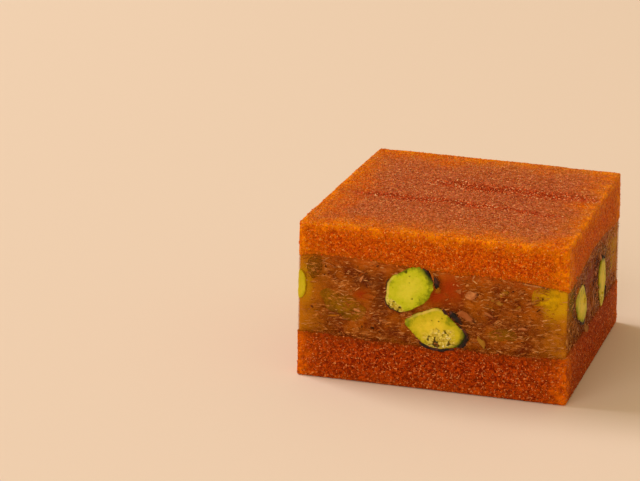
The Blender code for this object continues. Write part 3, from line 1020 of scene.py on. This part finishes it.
def slice_outline(node, cut):
    """The middle of a kernel's slice on its cut, and its radius in mm at each of the columns'
    angles. The solid's points that lie outermost across the cut are its slice."""
    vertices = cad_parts[node].data.vertices
    points = np.empty(3 * len(vertices))
    vertices.foreach_get("co", points)
    points = points.reshape(-1, 3) / MM
    along, up, normal = cut_axes(cut)
    out = points @ normal
    flat = points[out > out.max() - 0.02]
    u, v = flat @ along, flat @ up
    middle_u, middle_v = (u.min() + u.max()) / 2, (v.min() + v.max()) / 2
    middle = along * middle_u + up * middle_v + normal * CUTS[cut][1]
    angle = np.degrees(np.arctan2(v - middle_v, u - middle_u))
    columns = np.linspace(0, 360, KERNEL_COLUMNS, endpoint=False)
    away = np.hypot(u - middle_u, v - middle_v)
    order = np.argsort(angle)
    radius = np.interp(columns, angle[order], away[order], period=360)
    return middle, columns, radius


def turn_from(angle, place):
    """The turn between two angles in degrees, from -180 to 180."""
    return (angle - place + 180) % 360 - 180


def shaped_outline(node):
    """The slice's middle, the columns' angles and its radius there, in mm: its own outline or the
    solid's, with a slight unevenness all round."""
    cut = KERNELS[node][0]
    middle, columns, radius = slice_outline(node, cut)
    if node in OUTLINES:
        across, up = np.array(OUTLINES[node]).T
        angle = np.degrees(np.arctan2(up, across))
        radius = np.interp(columns, angle, np.hypot(across, up), period=360)
        radius = (np.roll(radius, 1) + 2 * radius + np.roll(radius, -1)) / 4
    for place, amount, spread in CORNERS.get(node, ()):
        radius = radius + amount * np.exp(-((turn_from(columns, place) / spread) ** 2))
    angle = np.radians(columns)
    circle = 3 * np.stack([np.cos(angle), np.sin(angle), np.zeros_like(angle)], -1) + middle
    radius = radius + 0.05 * waves(circle, 0.8, 6) + 0.05 * waves(circle, 0.3, 7)
    return middle, columns, radius


def close_rings(rows, columns, first, last):
    """Faces of a stack of rings, each of the same number of points, with a pole at both ends."""
    row, column = np.meshgrid(np.arange(rows - 1), np.arange(columns), indexing="ij")
    here, after = row * columns + column, row * columns + (column + 1) % columns
    quads = np.stack([here, here + columns, after + columns, after], -1).reshape(-1, 4)
    ring = np.arange(columns)
    start = np.stack([np.full(columns, first), ring, (ring + 1) % columns], -1)
    end_ring = (rows - 1) * columns + ring
    end = np.stack([np.full(columns, last), np.roll(end_ring, -1), end_ring], -1)
    return [quads, np.concatenate([start, end])]


# %% [markdown]
# A flat disc would look like a sticker. So the slice stands a hair out of the jelly, its rim
# rolls over, crumbled meal lifts parts of it, and a bowl behind it closes the shape. A kernel
# near an edge of the block is cut by the neighbouring cut as well.

# %% Kernels
FACE_ROWS, BOWL_ROWS = 34, 10
SLICE_RISE = 0.09  # how far the middle of a slice stands out of its cut
HIDDEN = 1.1  # what stands for "outwards" on the hidden side


def crumbled(u, v, columns, radius, spot):
    """1.3 at the middle of a crumbled spot, falling by 1 over each of its reaches: one round the
    kernel's middle, the other straight away from it."""
    degrees, share, reach_round, reach_out = spot
    angle = math.radians(degrees)
    away = np.interp(degrees, columns, radius) * share
    du, dv = u - away * math.cos(angle), v - away * math.sin(angle)
    outwards = du * math.cos(angle) + dv * math.sin(angle)
    sideways = dv * math.cos(angle) - du * math.sin(angle)
    return 1.3 - np.hypot(outwards / reach_out, sideways / reach_round)


def slice_by_others(points, out, cut, normal):
    """Where a kernel would pass another cut, it is sliced by that one too. Near there its slice
    also sinks a little, by 0.2 * exp(-distance / 1.2)."""
    for other, (facing, offset) in CUTS.items():
        if other != cut:
            sunk = 0.2 * np.exp(-np.maximum(offset - points @ facing, 0) / 1.2)
            points = points - sunk[:, None] * normal
            past = np.maximum(points @ facing - offset - 0.06, 0)
            points = points - past[:, None] * facing
            out = np.where(past > 0.02, np.clip(0.9 - past, 0.3, 0.9), out)
    return points, out


def add_kernel(node):
    """A sliced kernel. On the slice a ring at the share s of the way out lies s * radius from the
    middle, and s ** 10 rounds it off at the rim; below, at the angle t, the ring is
    cos(t) ** 0.8 * radius wide and sin(t) * depth down."""
    cut, material, depth, spot, (tip, tip_spread) = KERNELS[node]
    middle, columns, radius = shaped_outline(node)
    along, up, normal = cut_axes(cut)
    angle = np.radians(columns)
    share = np.linspace(0, 1, FACE_ROWS + 1)[1:, None]
    fall = np.linspace(0, math.pi / 2, BOWL_ROWS + 1)[1:-1, None]
    wide = np.concatenate([share, np.cos(fall) ** 0.8]) * radius
    deep = np.concatenate([SLICE_RISE - 0.12 * share**10, -depth * np.sin(fall)])
    deep = deep + np.zeros(len(angle))
    u, v, w = (wide * np.cos(angle)).ravel(), (wide * np.sin(angle)).ravel(), deep.ravel()
    u, v, w = np.r_[u, 0, 0], np.r_[v, 0, 0], np.r_[w, SLICE_RISE, -depth]
    points = middle + u[:, None] * along + v[:, None] * up + w[:, None] * normal
    bowl = np.full(fall.size * len(angle), HIDDEN)
    out = np.concatenate([np.repeat(share.ravel(), len(angle)), bowl, [0.0, HIDDEN]])

    on_face = w > -0.2
    meal = crumbled(u, v, columns, radius, spot) - 0.35 * waves(points, 0.5, 8)
    meal = np.clip(meal, 0, 1) * on_face
    degrees = np.degrees(np.arctan2(v, u))
    # the dark tip, partly painted shade where the rim turns from the light
    dark = 1.25 * np.exp(-((turn_from(degrees, tip) / tip_spread) ** 2))
    dark = np.clip(dark * np.clip((out - 0.78) / 0.2, 0, 1), 0, 1) * (1 - meal)
    lip = np.exp(-((turn_from(degrees, tip + 140) / 50) ** 2) - ((out - 0.93) / 0.07) ** 2)
    grain, number = crumbs(points, 0.5, 2)
    lump = (0.62 - grain) * (0.45 + 0.8 * number)
    # holes: painted shadow in the gaps between the meal's crumbs, and in a few fine pits
    hole_shadow = np.clip(-5.0 * lump, 0, 1) * np.clip(1.6 * meal, 0, 1)
    hole_shadow = hole_shadow + np.clip(3 * waves(points, 0.4, 26) - 2.1, 0, 1)
    lift = 0.5 * meal * lump + 0.03 * waves(points, 0.45, 9) + 0.05 * waves(points, 1.5, 10)

    points = points + normal * (lift * on_face)[:, None]
    points, out = slice_by_others(points, out, cut, normal)
    faces = close_rings(FACE_ROWS + BOWL_ROWS - 1, len(angle), len(points) - 2, len(points) - 1)
    faces = [rows[:, ::-1] for rows in faces]
    values = {
        "outwards": out, "meal": meal, "dark": dark,
        "lip": lip * on_face, "hole_shadow": np.clip(hole_shadow, 0, 1) * on_face,
    }
    name = node.replace("pistachio", "kernel")
    add_mesh(name, points, faces, material, values, stands_for=[node])


for node in KERNELS:
    add_kernel(node)

# %% [markdown]
# ## Skins
#
# A pistachio's skin is a thin dark purple leaf that clings to parts of its rim. It is a flat
# tube drawn along the slice's outline: an oval is carried round from one angle to another, and
# it swells and thins on the way, down to nothing at both ends.

# %% Skin material
skin_material, tree, shader = new_material("kernel_skin", Roughness=0.5, Specular_IOR_Level=0.25)
place = wire(tree, "TexCoord").outputs["Object"]
cloud = noise(tree, place, 1500.0, 3.0)
feed(tree, shader, Base_Color=tint(tree, from_srgb(22, 10, 4), (88, 40, 30), cloud, 0.42, 0.62))
add_bump(tree, shader, cloud, 0.6, 0.00008)
print("skin:", skin_material.name)

# %% Skins
# node, angles from and to, distance outside the rim, half width, half thickness
SKINS = (
    ("pistachio_front_lower", 206, 330, 0.2, 0.26, 0.45),
    ("pistachio_front_lower", 300, 382, 0.16, 0.32, 0.5),
    ("pistachio_front_lower", 52, 82, 0.08, 0.34, 0.42),
    ("pistachio_front_lower", 14, 60, 0.5, 0.38, 0.3),
    ("pistachio_front_upper", 22, 66, 0.04, 0.14, 0.45),
    ("pistachio_front_upper", 6, 34, 0.42, 0.34, 0.4),
    ("pistachio_front_upper", 196, 262, 0.03, 0.12, 0.4),
    ("pistachio_front_upper", 150, 200, 0.0, 0.09, 0.35),
    ("pistachio_right_near", 215, 320, 0.12, 0.25, 0.5),
    ("pistachio_right_near", 20, 80, 0.1, 0.14, 0.4),
    ("pistachio_right_far", 290, 350, 0.1, 0.2, 0.5),
    ("pistachio_right_far", 60, 110, 0.08, 0.15, 0.5),
    ("pistachio_left_middle", 180, 320, 0.08, 0.24, 0.5),
    ("pistachio_left_back", 60, 150, 0.05, 0.2, 0.5),
    ("pistachio_back_low", 200, 330, 0.08, 0.24, 0.5),
    ("pistachio_back_high", 20, 90, 0.08, 0.22, 0.5),
)
SKIN_STEPS, SKIN_SIDES = 44, 12


def skin_strip(node, start, stop, outside, half_width, half_thick):
    """An oval tube along the outline: at the share t of its length its size is
    sin(pi t) ** 0.45, made uneven by noise."""
    middle, columns, radius = shaped_outline(node)
    along, up, normal = cut_axes(KERNELS[node][0])
    t = np.linspace(0, 1, SKIN_STEPS + 2)[1:-1]
    degrees = start + (stop - start) * t
    angle = np.radians(degrees)
    away = np.interp(degrees % 360, columns, radius, period=360) + outside
    ray = np.cos(angle)[:, None] * along + np.sin(angle)[:, None] * up
    line = middle + away[:, None] * ray + normal * 0.02
    size = np.sin(math.pi * t) ** 0.45 * (1 + 0.35 * waves(line, 0.6, 12))
    around = np.linspace(0, 2 * math.pi, SKIN_SIDES, endpoint=False)
    wide = (size * half_width)[:, None] * np.cos(around)
    thick = (size * half_thick)[:, None] * np.sin(around) - half_thick * 0.7
    points = line[:, None, :] + wide[..., None] * ray[:, None, :] + thick[..., None] * normal
    ends = line[[0, -1]] - normal * half_thick
    points = np.concatenate([points.reshape(-1, 3), ends])
    points += 0.07 * waves(points, 0.28, 13)[:, None] * normal
    return points, close_rings(SKIN_STEPS, SKIN_SIDES, len(points) - 2, len(points) - 1)


def join(parts):
    """Joins meshes given as (points, [quads, triangles]) into one, renumbering the faces."""
    points, quads, triangles, start = [], [], [], 0
    for part, (four, three) in parts:
        points.append(part)
        quads.append(four + start)
        triangles.append(three + start)
        start += len(part)
    return np.concatenate(points), [np.concatenate(quads), np.concatenate(triangles)]


points, faces = join([skin_strip(*skin) for skin in SKINS])
add_mesh("kernel_skins", points, faces, skin_material)

# %% [markdown]
# ## What hangs in the jelly
#
# Whole kernels lie just behind the cuts, seen through the amber, and everywhere float thin
# shreds and flakes of fruit and dark crumbs of the kernels' skins. On two of the sides the knife
# has dragged shreds upwards into long smears. All of them are small ovals, stretched, bent and
# turned. One oval's points are worked out once, and the copies are made together as arrays.

# %% Strewing
def oval(rings, sides):
    """A ball of radius 1 as rings between two poles along x: at the angle t a ring lies at
    -cos(t) and is sin(t) wide."""
    t = np.linspace(0, math.pi, rings + 2)[1:-1]
    around = np.linspace(0, 2 * math.pi, sides, endpoint=False)
    x = np.broadcast_to(-np.cos(t)[:, None], (rings, sides))
    y, z = np.sin(t)[:, None] * np.cos(around), np.sin(t)[:, None] * np.sin(around)
    points = np.concatenate([np.stack([x, y, z], -1).reshape(-1, 3), [[-1, 0, 0], [1, 0, 0]]])
    return points, close_rings(rings, sides, rings * sides, rings * sides + 1)


def strew(shape, faces, places, frames, sizes, bends):
    """Copies of a shape: each is stretched by its size, bent so that its long axis rises by
    bend * x * x, turned by its three axes and put in its place."""
    local = shape[None] * sizes[:, None, :]
    local[..., 2] += bends[:, None] * shape[None, :, 0] ** 2 * sizes[:, None, 0]
    points = np.einsum("nvk,nkj->nvj", local, frames) + places[:, None, :]
    steps = (np.arange(len(places)) * len(shape))[:, None, None]
    copies = [(rows[None] + steps).reshape(-1, rows.shape[1]) for rows in faces]
    return points.reshape(-1, 3), copies


def behind_cuts(points):
    """How far each point lies behind the nearest of the four cuts."""
    return np.min([offset - points @ facing for facing, offset in CUTS.values()], axis=0)


# %% [markdown]
# Real amber jelly takes the blue and then the green out of the light that comes back from a
# shred in it. The material does that by a rule: each point knows how deep it lies, and its
# colour goes over to deep amber with the depth.

# %% Material of what hangs in the jelly
DEEP_AMBER = (150, 68, 6)


def fogged(name, colours, clear_depth, roughness=0.5, gloss=0.04, mottled=0.35):
    """A material whose colour goes from one to the next of the colours by each copy's tone, and
    towards deep amber by how far behind the cut a point lies."""
    material, tree, shader = new_material(name, Roughness=roughness, Specular_IOR_Level=gloss)
    place = wire(tree, "TexCoord").outputs["Object"]
    scale = wire(tree, "ValToRGB", {"Fac": read(tree, "tone")})
    stops = scale.color_ramp.elements
    for i, colour in enumerate(colours):
        stop = stops[i] if i < 2 else stops.new(1.0)
        stop.color = (*from_srgb(*colour), 1.0)
    for i, stop in enumerate(stops):
        stop.position = i / (len(colours) - 1)
    mottle = noise(tree, place, 1900.0, 4.0)
    colour = tint(tree, scale.outputs["Color"], colours[0], mottle, 0.38, 0.64, mottled)
    colour = tint(tree, colour, DEEP_AMBER, read(tree, "depth"), 0.0, clear_depth, 0.85)
    feed(tree, shader, Base_Color=colour)
    add_bump(tree, shader, mottle, 0.3, 0.00005)
    return material


# %% Nuts behind the cuts
# cut, place along it and height, length, width, turn in degrees, depth of its middle, tone
SUNKEN_NUTS = (
    ("front", -11.7, 9.5, 6.6, 3.2, -24, 1.1, 0.32),
    ("front", 13.1, 12.9, 4.2, 3.6, 8, 1.15, 1.0),
    ("front", -15.2, 13.7, 3.8, 2.4, 85, 1.15, 0.0),
    ("front", 7.6, 7.6, 5.0, 2.4, 8, 1.6, 0.2),
    ("right", 6.8, 12.4, 5.0, 3.0, -30, 1.5, 0.1),
    ("right", -1.0, 13.6, 5.0, 2.4, 10, 1.8, 0.0),
    ("right", 11.0, 9.0, 4.6, 3.0, 60, 1.6, 0.6),
    ("left", 6.0, 12.2, 5.2, 3.2, 25, 1.5, 0.7),
    ("left", -4.5, 12.6, 4.6, 2.8, -20, 1.6, 0.3),
    ("left", 9.5, 8.2, 5.4, 3.0, 15, 1.4, 0.9),
    ("back", 12.0, 12.0, 5.0, 3.2, 35, 1.4, 0.8),
    ("back", -1.0, 9.0, 6.0, 3.4, -15, 1.5, 0.5),
    ("back", -12.5, 9.2, 5.0, 3.2, 60, 1.4, 0.9),
    ("back", 1.5, 12.9, 4.4, 2.8, 10, 1.7, 0.2),
)


def on_cut(cut, along_by, height, depth):
    """The point that far along a cut from its middle, at that height, and that deep behind it."""
    along, up, normal = cut_axes(cut)
    foot = normal * CUTS[cut][1]
    return foot + along * along_by + up * ((height - foot[2]) / up[2]) - normal * depth


nut_shape, nut_faces = oval(18, 26)
blunter = 1 + 0.2 * nut_shape[:, 0]  # one end of a kernel is thicker than the other
nut_shape = nut_shape * np.stack([np.ones(len(nut_shape)), blunter, blunter], -1)
places, frames, sizes, tones = [], [], [], []
for cut, along_by, height, length, width, turn, depth, tone in SUNKEN_NUTS:
    along, up, normal = cut_axes(cut)
    angle = math.radians(turn)
    long_axis = along * math.cos(angle) + up * math.sin(angle)
    places.append(on_cut(cut, along_by, height, depth))
    frames.append([long_axis, np.cross(normal, long_axis), normal])
    sizes.append([length / 2, width / 2, min(width / 2, depth - 0.12)])
    tones.append(tone)
places, frames, sizes = np.array(places), np.array(frames), np.array(sizes)
points, faces = strew(nut_shape, nut_faces, places, frames, sizes, np.zeros(len(places)))
for axis, size, seed in ((0, 0.25, 27), (1, 0.35, 28), (2, 0.12, 14)):
    ways = np.repeat(frames[:, axis], len(nut_shape), axis=0)
    points += size * waves(points, 1.3, seed)[:, None] * ways
values = {"tone": np.repeat(tones, len(nut_shape)), "depth": behind_cuts(points)}
NUT_SHADES = (98, 70, 6), (200, 156, 10), (244, 200, 6)
nut_material = fogged("sunken_nut", NUT_SHADES, 3.4, mottled=0.55)
add_mesh("sunken_nuts", points, faces, nut_material, values)

# %% [markdown]
# ## Shreds, crumbs, smears and flakes
#
# Four kinds of small things float near the cuts. Their places come from seeded random numbers,
# so they are the same on every run, and noise gathers them into clouds. The clear and the
# golden patches stay nearly empty. The flakes that catch the eye are listed one by one.

# %% Scattering
SHREDS, SKIN_CRUMBS, SMEARS, FLAKES = 9000, 420, 1100, 300  # places tried, before thinning
SEAM_MARGIN = 0.15  # nothing stands nearer to a seam than this
STRAYS = 0.15  # the share that stays even where the noise thins the rest out


def scatter_in_jelly(rng, count, deepest):
    """Random places in the jelly behind the four cuts, with the axes of the cut that each is near.
    Fewer stay where the jelly is clear or golden and by the upright edges, and soft noise thins
    them out elsewhere."""
    places, frames = [], []
    spans = {"front": HALF_WIDTH, "back": HALF_WIDTH, "left": HALF_DEPTH, "right": HALF_DEPTH}
    for cut, half in spans.items():
        n = round(count * half / sum(spans.values()))
        along_by = rng.uniform(0.8 - half, half - 0.8, n)
        level, depth = rng.random(n), rng.random(n) ** 2.2 * deepest - 0.04
        along, up, normal = cut_axes(cut)
        ground = on_cut(cut, 0.0, 0.0, 0.0) + along_by[:, None] * along - depth[:, None] * normal
        low = lower_seam(ground[:, 0], ground[:, 1]) + SEAM_MARGIN
        high = upper_seam(ground[:, 0], ground[:, 1]) - SEAM_MARGIN
        point = ground + ((low + (high - low) * level) / up[2])[:, None] * up
        crowd = waves(point, 2.4, 15) + 0.6 * waves(point, 1.0, 16) - 1.6 * patches(point, CLEAR)
        crowd -= 1.2 * patches(point, GOLDEN) + 0.5 * np.exp(-(half - abs(along_by)) / 1.5)
        kept = ((crowd > -0.5) | (rng.random(n) < STRAYS)) & (behind_cuts(point) > -0.01)
        places.append(point[kept])
        frames.append(np.broadcast_to(np.array([along, up, normal]), (kept.sum(), 3, 3)))
    return np.concatenate(places), np.concatenate(frames)


def tumbled(rng, frames, lean, turn, tilt):
    """The axes turned in the cut's plane by lean and a random angle, then tipped out of it."""
    a, b = lean + rng.normal(0, turn, len(frames)), rng.normal(0, tilt, len(frames))
    along, up, normal = frames.transpose(1, 0, 2)
    long_axis = np.cos(a)[:, None] * along + np.sin(a)[:, None] * up
    wide_axis = np.cross(normal, long_axis)
    wide = np.cos(b)[:, None] * wide_axis + np.sin(b)[:, None] * normal
    flat = np.cos(b)[:, None] * normal - np.sin(b)[:, None] * wide_axis
    return np.stack([long_axis, wide, flat], axis=1)


def add_strewn(name, shape, faces, places, frames, sizes, bends, tones, material, rough=0.0):
    """Strews copies of a shape, roughens them along their cut by that many mm of noise, trims what
    would stick out of the cuts, and adds the piece."""
    points, faces = strew(shape, faces, places, frames, sizes, bends)
    for axis, seed in ((0, 32), (1, 33)):
        ways = np.repeat(frames[:, axis], len(shape), axis=0)
        points += rough * waves(points, 0.45, seed)[:, None] * ways
    for facing, offset in CUTS.values():
        points -= np.maximum(points @ facing - offset - 0.03, 0)[:, None] * facing
    values = {"tone": np.repeat(tones, len(shape)), "depth": behind_cuts(points)}
    add_mesh(name, points, faces, material, values)


def random_sizes(rng, n, half_length, half_width, half_thickness):
    """Half lengths and half widths between two limits each, and one half thickness for all."""
    long, wide = rng.uniform(*half_length, n), rng.uniform(*half_width, n)
    return np.stack([long, wide, np.full(n, half_thickness)], -1)


# %% Shreds
SHRED = oval(2, 5)
# the palest shreds also stand for the jelly's small glints: partly painted highlights
shred_material = fogged("fruit_shred", ((146, 74, 18), (198, 116, 50), (242, 184, 120)), 1.2)
rng = np.random.default_rng(21)
places, frames = scatter_in_jelly(rng, SHREDS, 0.55)
n = len(places)
sizes = random_sizes(rng, n, (0.12, 0.5), (0.03, 0.075), 0.04)
bends = rng.uniform(-0.5, 0.5, n)
frames = tumbled(rng, frames, 0.12, 0.35, 0.5)
add_strewn("fruit_shreds", *SHRED, places, frames, sizes, bends, rng.random(n), shred_material)

# %% Crumbs of the kernels' dark skins
crumb_material = fogged("skin_crumb", ((66, 30, 10), (98, 48, 20), (126, 66, 32)), 1.2)
rng = np.random.default_rng(24)
places, frames = scatter_in_jelly(rng, SKIN_CRUMBS, 0.4)
n = len(places)
sizes = random_sizes(rng, n, (0.08, 0.34), (0.06, 0.16), 0.06)
frames = tumbled(rng, frames, 0.1, 0.8, 0.4)
add_strewn(
    "skin_crumbs", *SHRED, places, frames, sizes, np.zeros(n), rng.random(n), crumb_material,
    rough=0.1,
)

# %% Long thin smears on the left and right, where the knife dragged shreds upwards
smear_material = fogged("dragged_shred", ((124, 62, 20), (180, 110, 50), (214, 152, 92)), 1.2)
rng = np.random.default_rng(23)
places, frames = scatter_in_jelly(rng, SMEARS, 0.25)
on_left_or_right = abs(frames[:, 2, 0]) > 0.5
places, frames = places[on_left_or_right], frames[on_left_or_right]
n = len(places)
sizes = random_sizes(rng, n, (0.2, 0.8), (0.05, 0.18), 0.05)
frames = tumbled(rng, frames, math.pi / 2, 0.13, 0.2)
bends = rng.uniform(-0.15, 0.15, n)
add_strewn("dragged_shreds", *SHRED, places, frames, sizes, bends, rng.random(n), smear_material)

# %% Flakes
# cut, place along it and height, length, width, turn, depth, tone of the flakes that stand out
NAMED_FLAKES = (
    ("front", 4.2, 12.5, 1.9, 1.2, 12, 0.0, 0.33), ("front", 2.8, 12.9, 1.0, 0.5, -10, 0.05, 0.12),
    ("front", 3.8, 13.6, 0.6, 0.3, 20, 0.0, 0.40), ("front", 4.4, 14.7, 0.5, 0.25, 70, 0.0, 0.35),
    ("front", 3.6, 9.9, 2.6, 0.8, -32, 0.05, 0.10), ("front", 7.2, 12.0, 1.3, 0.5, -15, 0.1, 0.60),
    ("front", 8.1, 13.0, 1.0, 0.6, 40, 0.1, 0.70), ("front", 5.7, 6.9, 1.7, 0.6, -55, 0.05, 0.62),
    ("front", -8.3, 11.0, 1.9, 0.8, 8, 0.35, 0.90), ("front", -9.0, 13.2, 0.9, 0.4, 60, 0.0, 0.25),
    ("front", -9.5, 9.2, 1.2, 0.35, -15, 0.0, 0.38), ("front", -12.4, 8.2, 1.7, 0.25, 4, 0.0, 0.80),
    ("front", -13.2, 14.6, 1.8, 0.16, -20, 0.05, 0.28), ("front", -9.8, 14.2, 2.4, 0.14, -4, 0.05, 0.25),
    ("front", 11.4, 14.4, 3.4, 0.2, -9, 0.0, 0.38), ("front", -6.6, 8.1, 1.0, 0.2, 12, 0.0, 0.35),
    ("front", 1.7, 11.2, 0.5, 0.2, 5, 0.0, 0.40), ("front", 9.6, 11.4, 1.0, 0.5, 30, 0.15, 0.66),
    ("front", 10.4, 9.0, 1.3, 0.4, 15, 0.1, 0.20), ("front", 6.4, 10.4, 1.2, 0.45, -20, 0.05, 0.15),
    ("front", 0.2, 12.6, 0.9, 0.8, 70, 0.15, 0.72), ("front", -0.6, 14.5, 1.0, 0.5, -60, 0.1, 0.90),
    ("right", -4.0, 6.0, 2.2, 1.0, -14, 0.02, 0.55), ("right", 0.4, 11.6, 1.6, 0.7, -25, 0.05, 0.15),
    ("right", 3.2, 12.8, 1.8, 0.6, -45, 0.02, 0.25), ("right", -11.0, 14.2, 2.4, 0.8, 10, 0.1, 0.62),
    ("right", 12.0, 13.2, 1.8, 0.5, -20, 0.05, 0.30), ("right", -0.6, 8.2, 1.4, 1.0, 80, 0.05, 0.20),
)
FLAKE = oval(5, 10)
FLAKE_SHADES = (150, 76, 30), (216, 142, 86), (160, 116, 20), (206, 100, 22)
flake_material = fogged("fruit_flake", FLAKE_SHADES, 1.4, mottled=0.7)
rng = np.random.default_rng(22)
places, frames = scatter_in_jelly(rng, FLAKES, 0.8)
n = len(places)
frames = tumbled(rng, frames, 0.1, 0.7, 0.35)
sizes = random_sizes(rng, n, (0.25, 0.8), (0.07, 0.22), 0.06)
places -= frames[:, 2] * 0.12
tones, bends = rng.random(n), rng.uniform(-0.4, 0.4, n)
for cut, along_by, height, length, width, turn, depth, tone in NAMED_FLAKES:
    turned = tumbled(rng, np.array([cut_axes(cut)]), math.radians(turn), 0.0, 0.0)
    places = np.concatenate([places, on_cut(cut, along_by, height, depth)[None]])
    frames = np.concatenate([frames, turned])
    sizes = np.concatenate([sizes, [[length / 2, width / 2, 0.09]]])
    tones, bends = np.append(tones, tone), np.append(bends, 0.25)
ragged_flake = FLAKE[0] * (1 + 0.4 * waves(FLAKE[0], 0.8, 20))[:, None]
add_strewn(
    "fruit_flakes", ragged_flake, FLAKE[1], places, frames, sizes, bends, tones, flake_material,
    rough=0.28,
)

# %% [markdown]
# ## Sugar on the paste
#
# Coarse sugar has melted half into the paste and left thousands of small amber grains that
# catch the light. Each grain is an eight-sided pebble, set at a random point of the paste's
# own surface with its middle just under it. Their shades run from the paste's to pale orange,
# and those in the creases are coarser.

# %% Sugar grains
PEBBLE = oval(1, 4)


def add_sugar(name, seed, points, out, chosen, count, sizes, colours):
    """Pebbles at random points of a surface, among those chosen, each turned at random about
    the way the surface looks there."""
    rng = np.random.default_rng(seed)
    picked = rng.choice(np.flatnonzero(chosen), count)
    normal = out[picked] + rng.normal(0, 0.25, (count, 3))
    normal /= np.linalg.norm(normal, axis=1, keepdims=True)
    any_way = rng.normal(size=(count, 3))
    long_axis = np.cross(normal, any_way)
    long_axis /= np.linalg.norm(long_axis, axis=1, keepdims=True)
    frames = np.stack([long_axis, np.cross(normal, long_axis), normal], axis=1)
    places = points[picked] + rng.uniform(-0.07, 0.07, (count, 1)) * long_axis - 0.035 * normal
    half = rng.uniform(*sizes, count)
    shape = np.stack([half * rng.uniform(1.0, 1.7, count), half, half * 0.8], -1)
    grains, faces = strew(*PEBBLE, places, frames, shape, np.zeros(count))
    grains[:, 2] = np.maximum(grains[:, 2], 0.0)
    material = fogged(name, colours, 9.0, roughness=0.4, gloss=0.1)
    tones = np.repeat(rng.random(count) ** 1.5, len(PEBBLE[0]))
    values = {"tone": tones, "depth": np.zeros(len(grains))}
    add_mesh(name, grains, faces, material, values)


on_top = top_out[:, 2] > 0.9
on_sides = abs(top_out[:, :2]).max(axis=1) > 0.7
on_base_sides = abs(base_out[:, :2]).max(axis=1) > 0.7
add_sugar(
    "sugar_on_top", 31, top_points, top_out, on_top, 9000, (0.05, 0.12),
    ((196, 82, 20), (222, 116, 48), (252, 182, 116)),
)
add_sugar(
    "sugar_in_creases", 34, top_points, top_out, top_crease > 0.02, 1700, (0.08, 0.16),
    ((196, 60, 8), (228, 104, 34), (255, 204, 150)),
)
add_sugar(
    "sugar_on_top_sides", 32, top_points, top_out, on_sides, 6000, (0.05, 0.13),
    ((216, 76, 4), (240, 120, 26), (255, 180, 92)),
)
add_sugar(
    "sugar_on_base_sides", 33, base_points, base_out, on_base_sides, 7500, (0.05, 0.13),
    ((160, 44, 4), (210, 96, 34), (250, 170, 104)),
)

# %% [markdown]
# ## Floor
#
# A plain pale surface, wide enough to fill the picture from every side.

# %% Floor
floor_material, _, floor_shader = new_material("plain_surface", Roughness=0.85)
floor_shader.inputs["Base Color"].default_value = (*from_srgb(233, 214, 204), 1.0)
FLOOR_HALF = 3000.0
floor_points = FLOOR_HALF * np.array([[-1, -1, 0], [1, -1, 0], [1, 1, 0], [-1, 1, 0]])
add_mesh("floor", floor_points, [np.array([[0, 1, 2, 3]])], floor_material, stage=True)
print("floor half size, mm:", FLOOR_HALF)
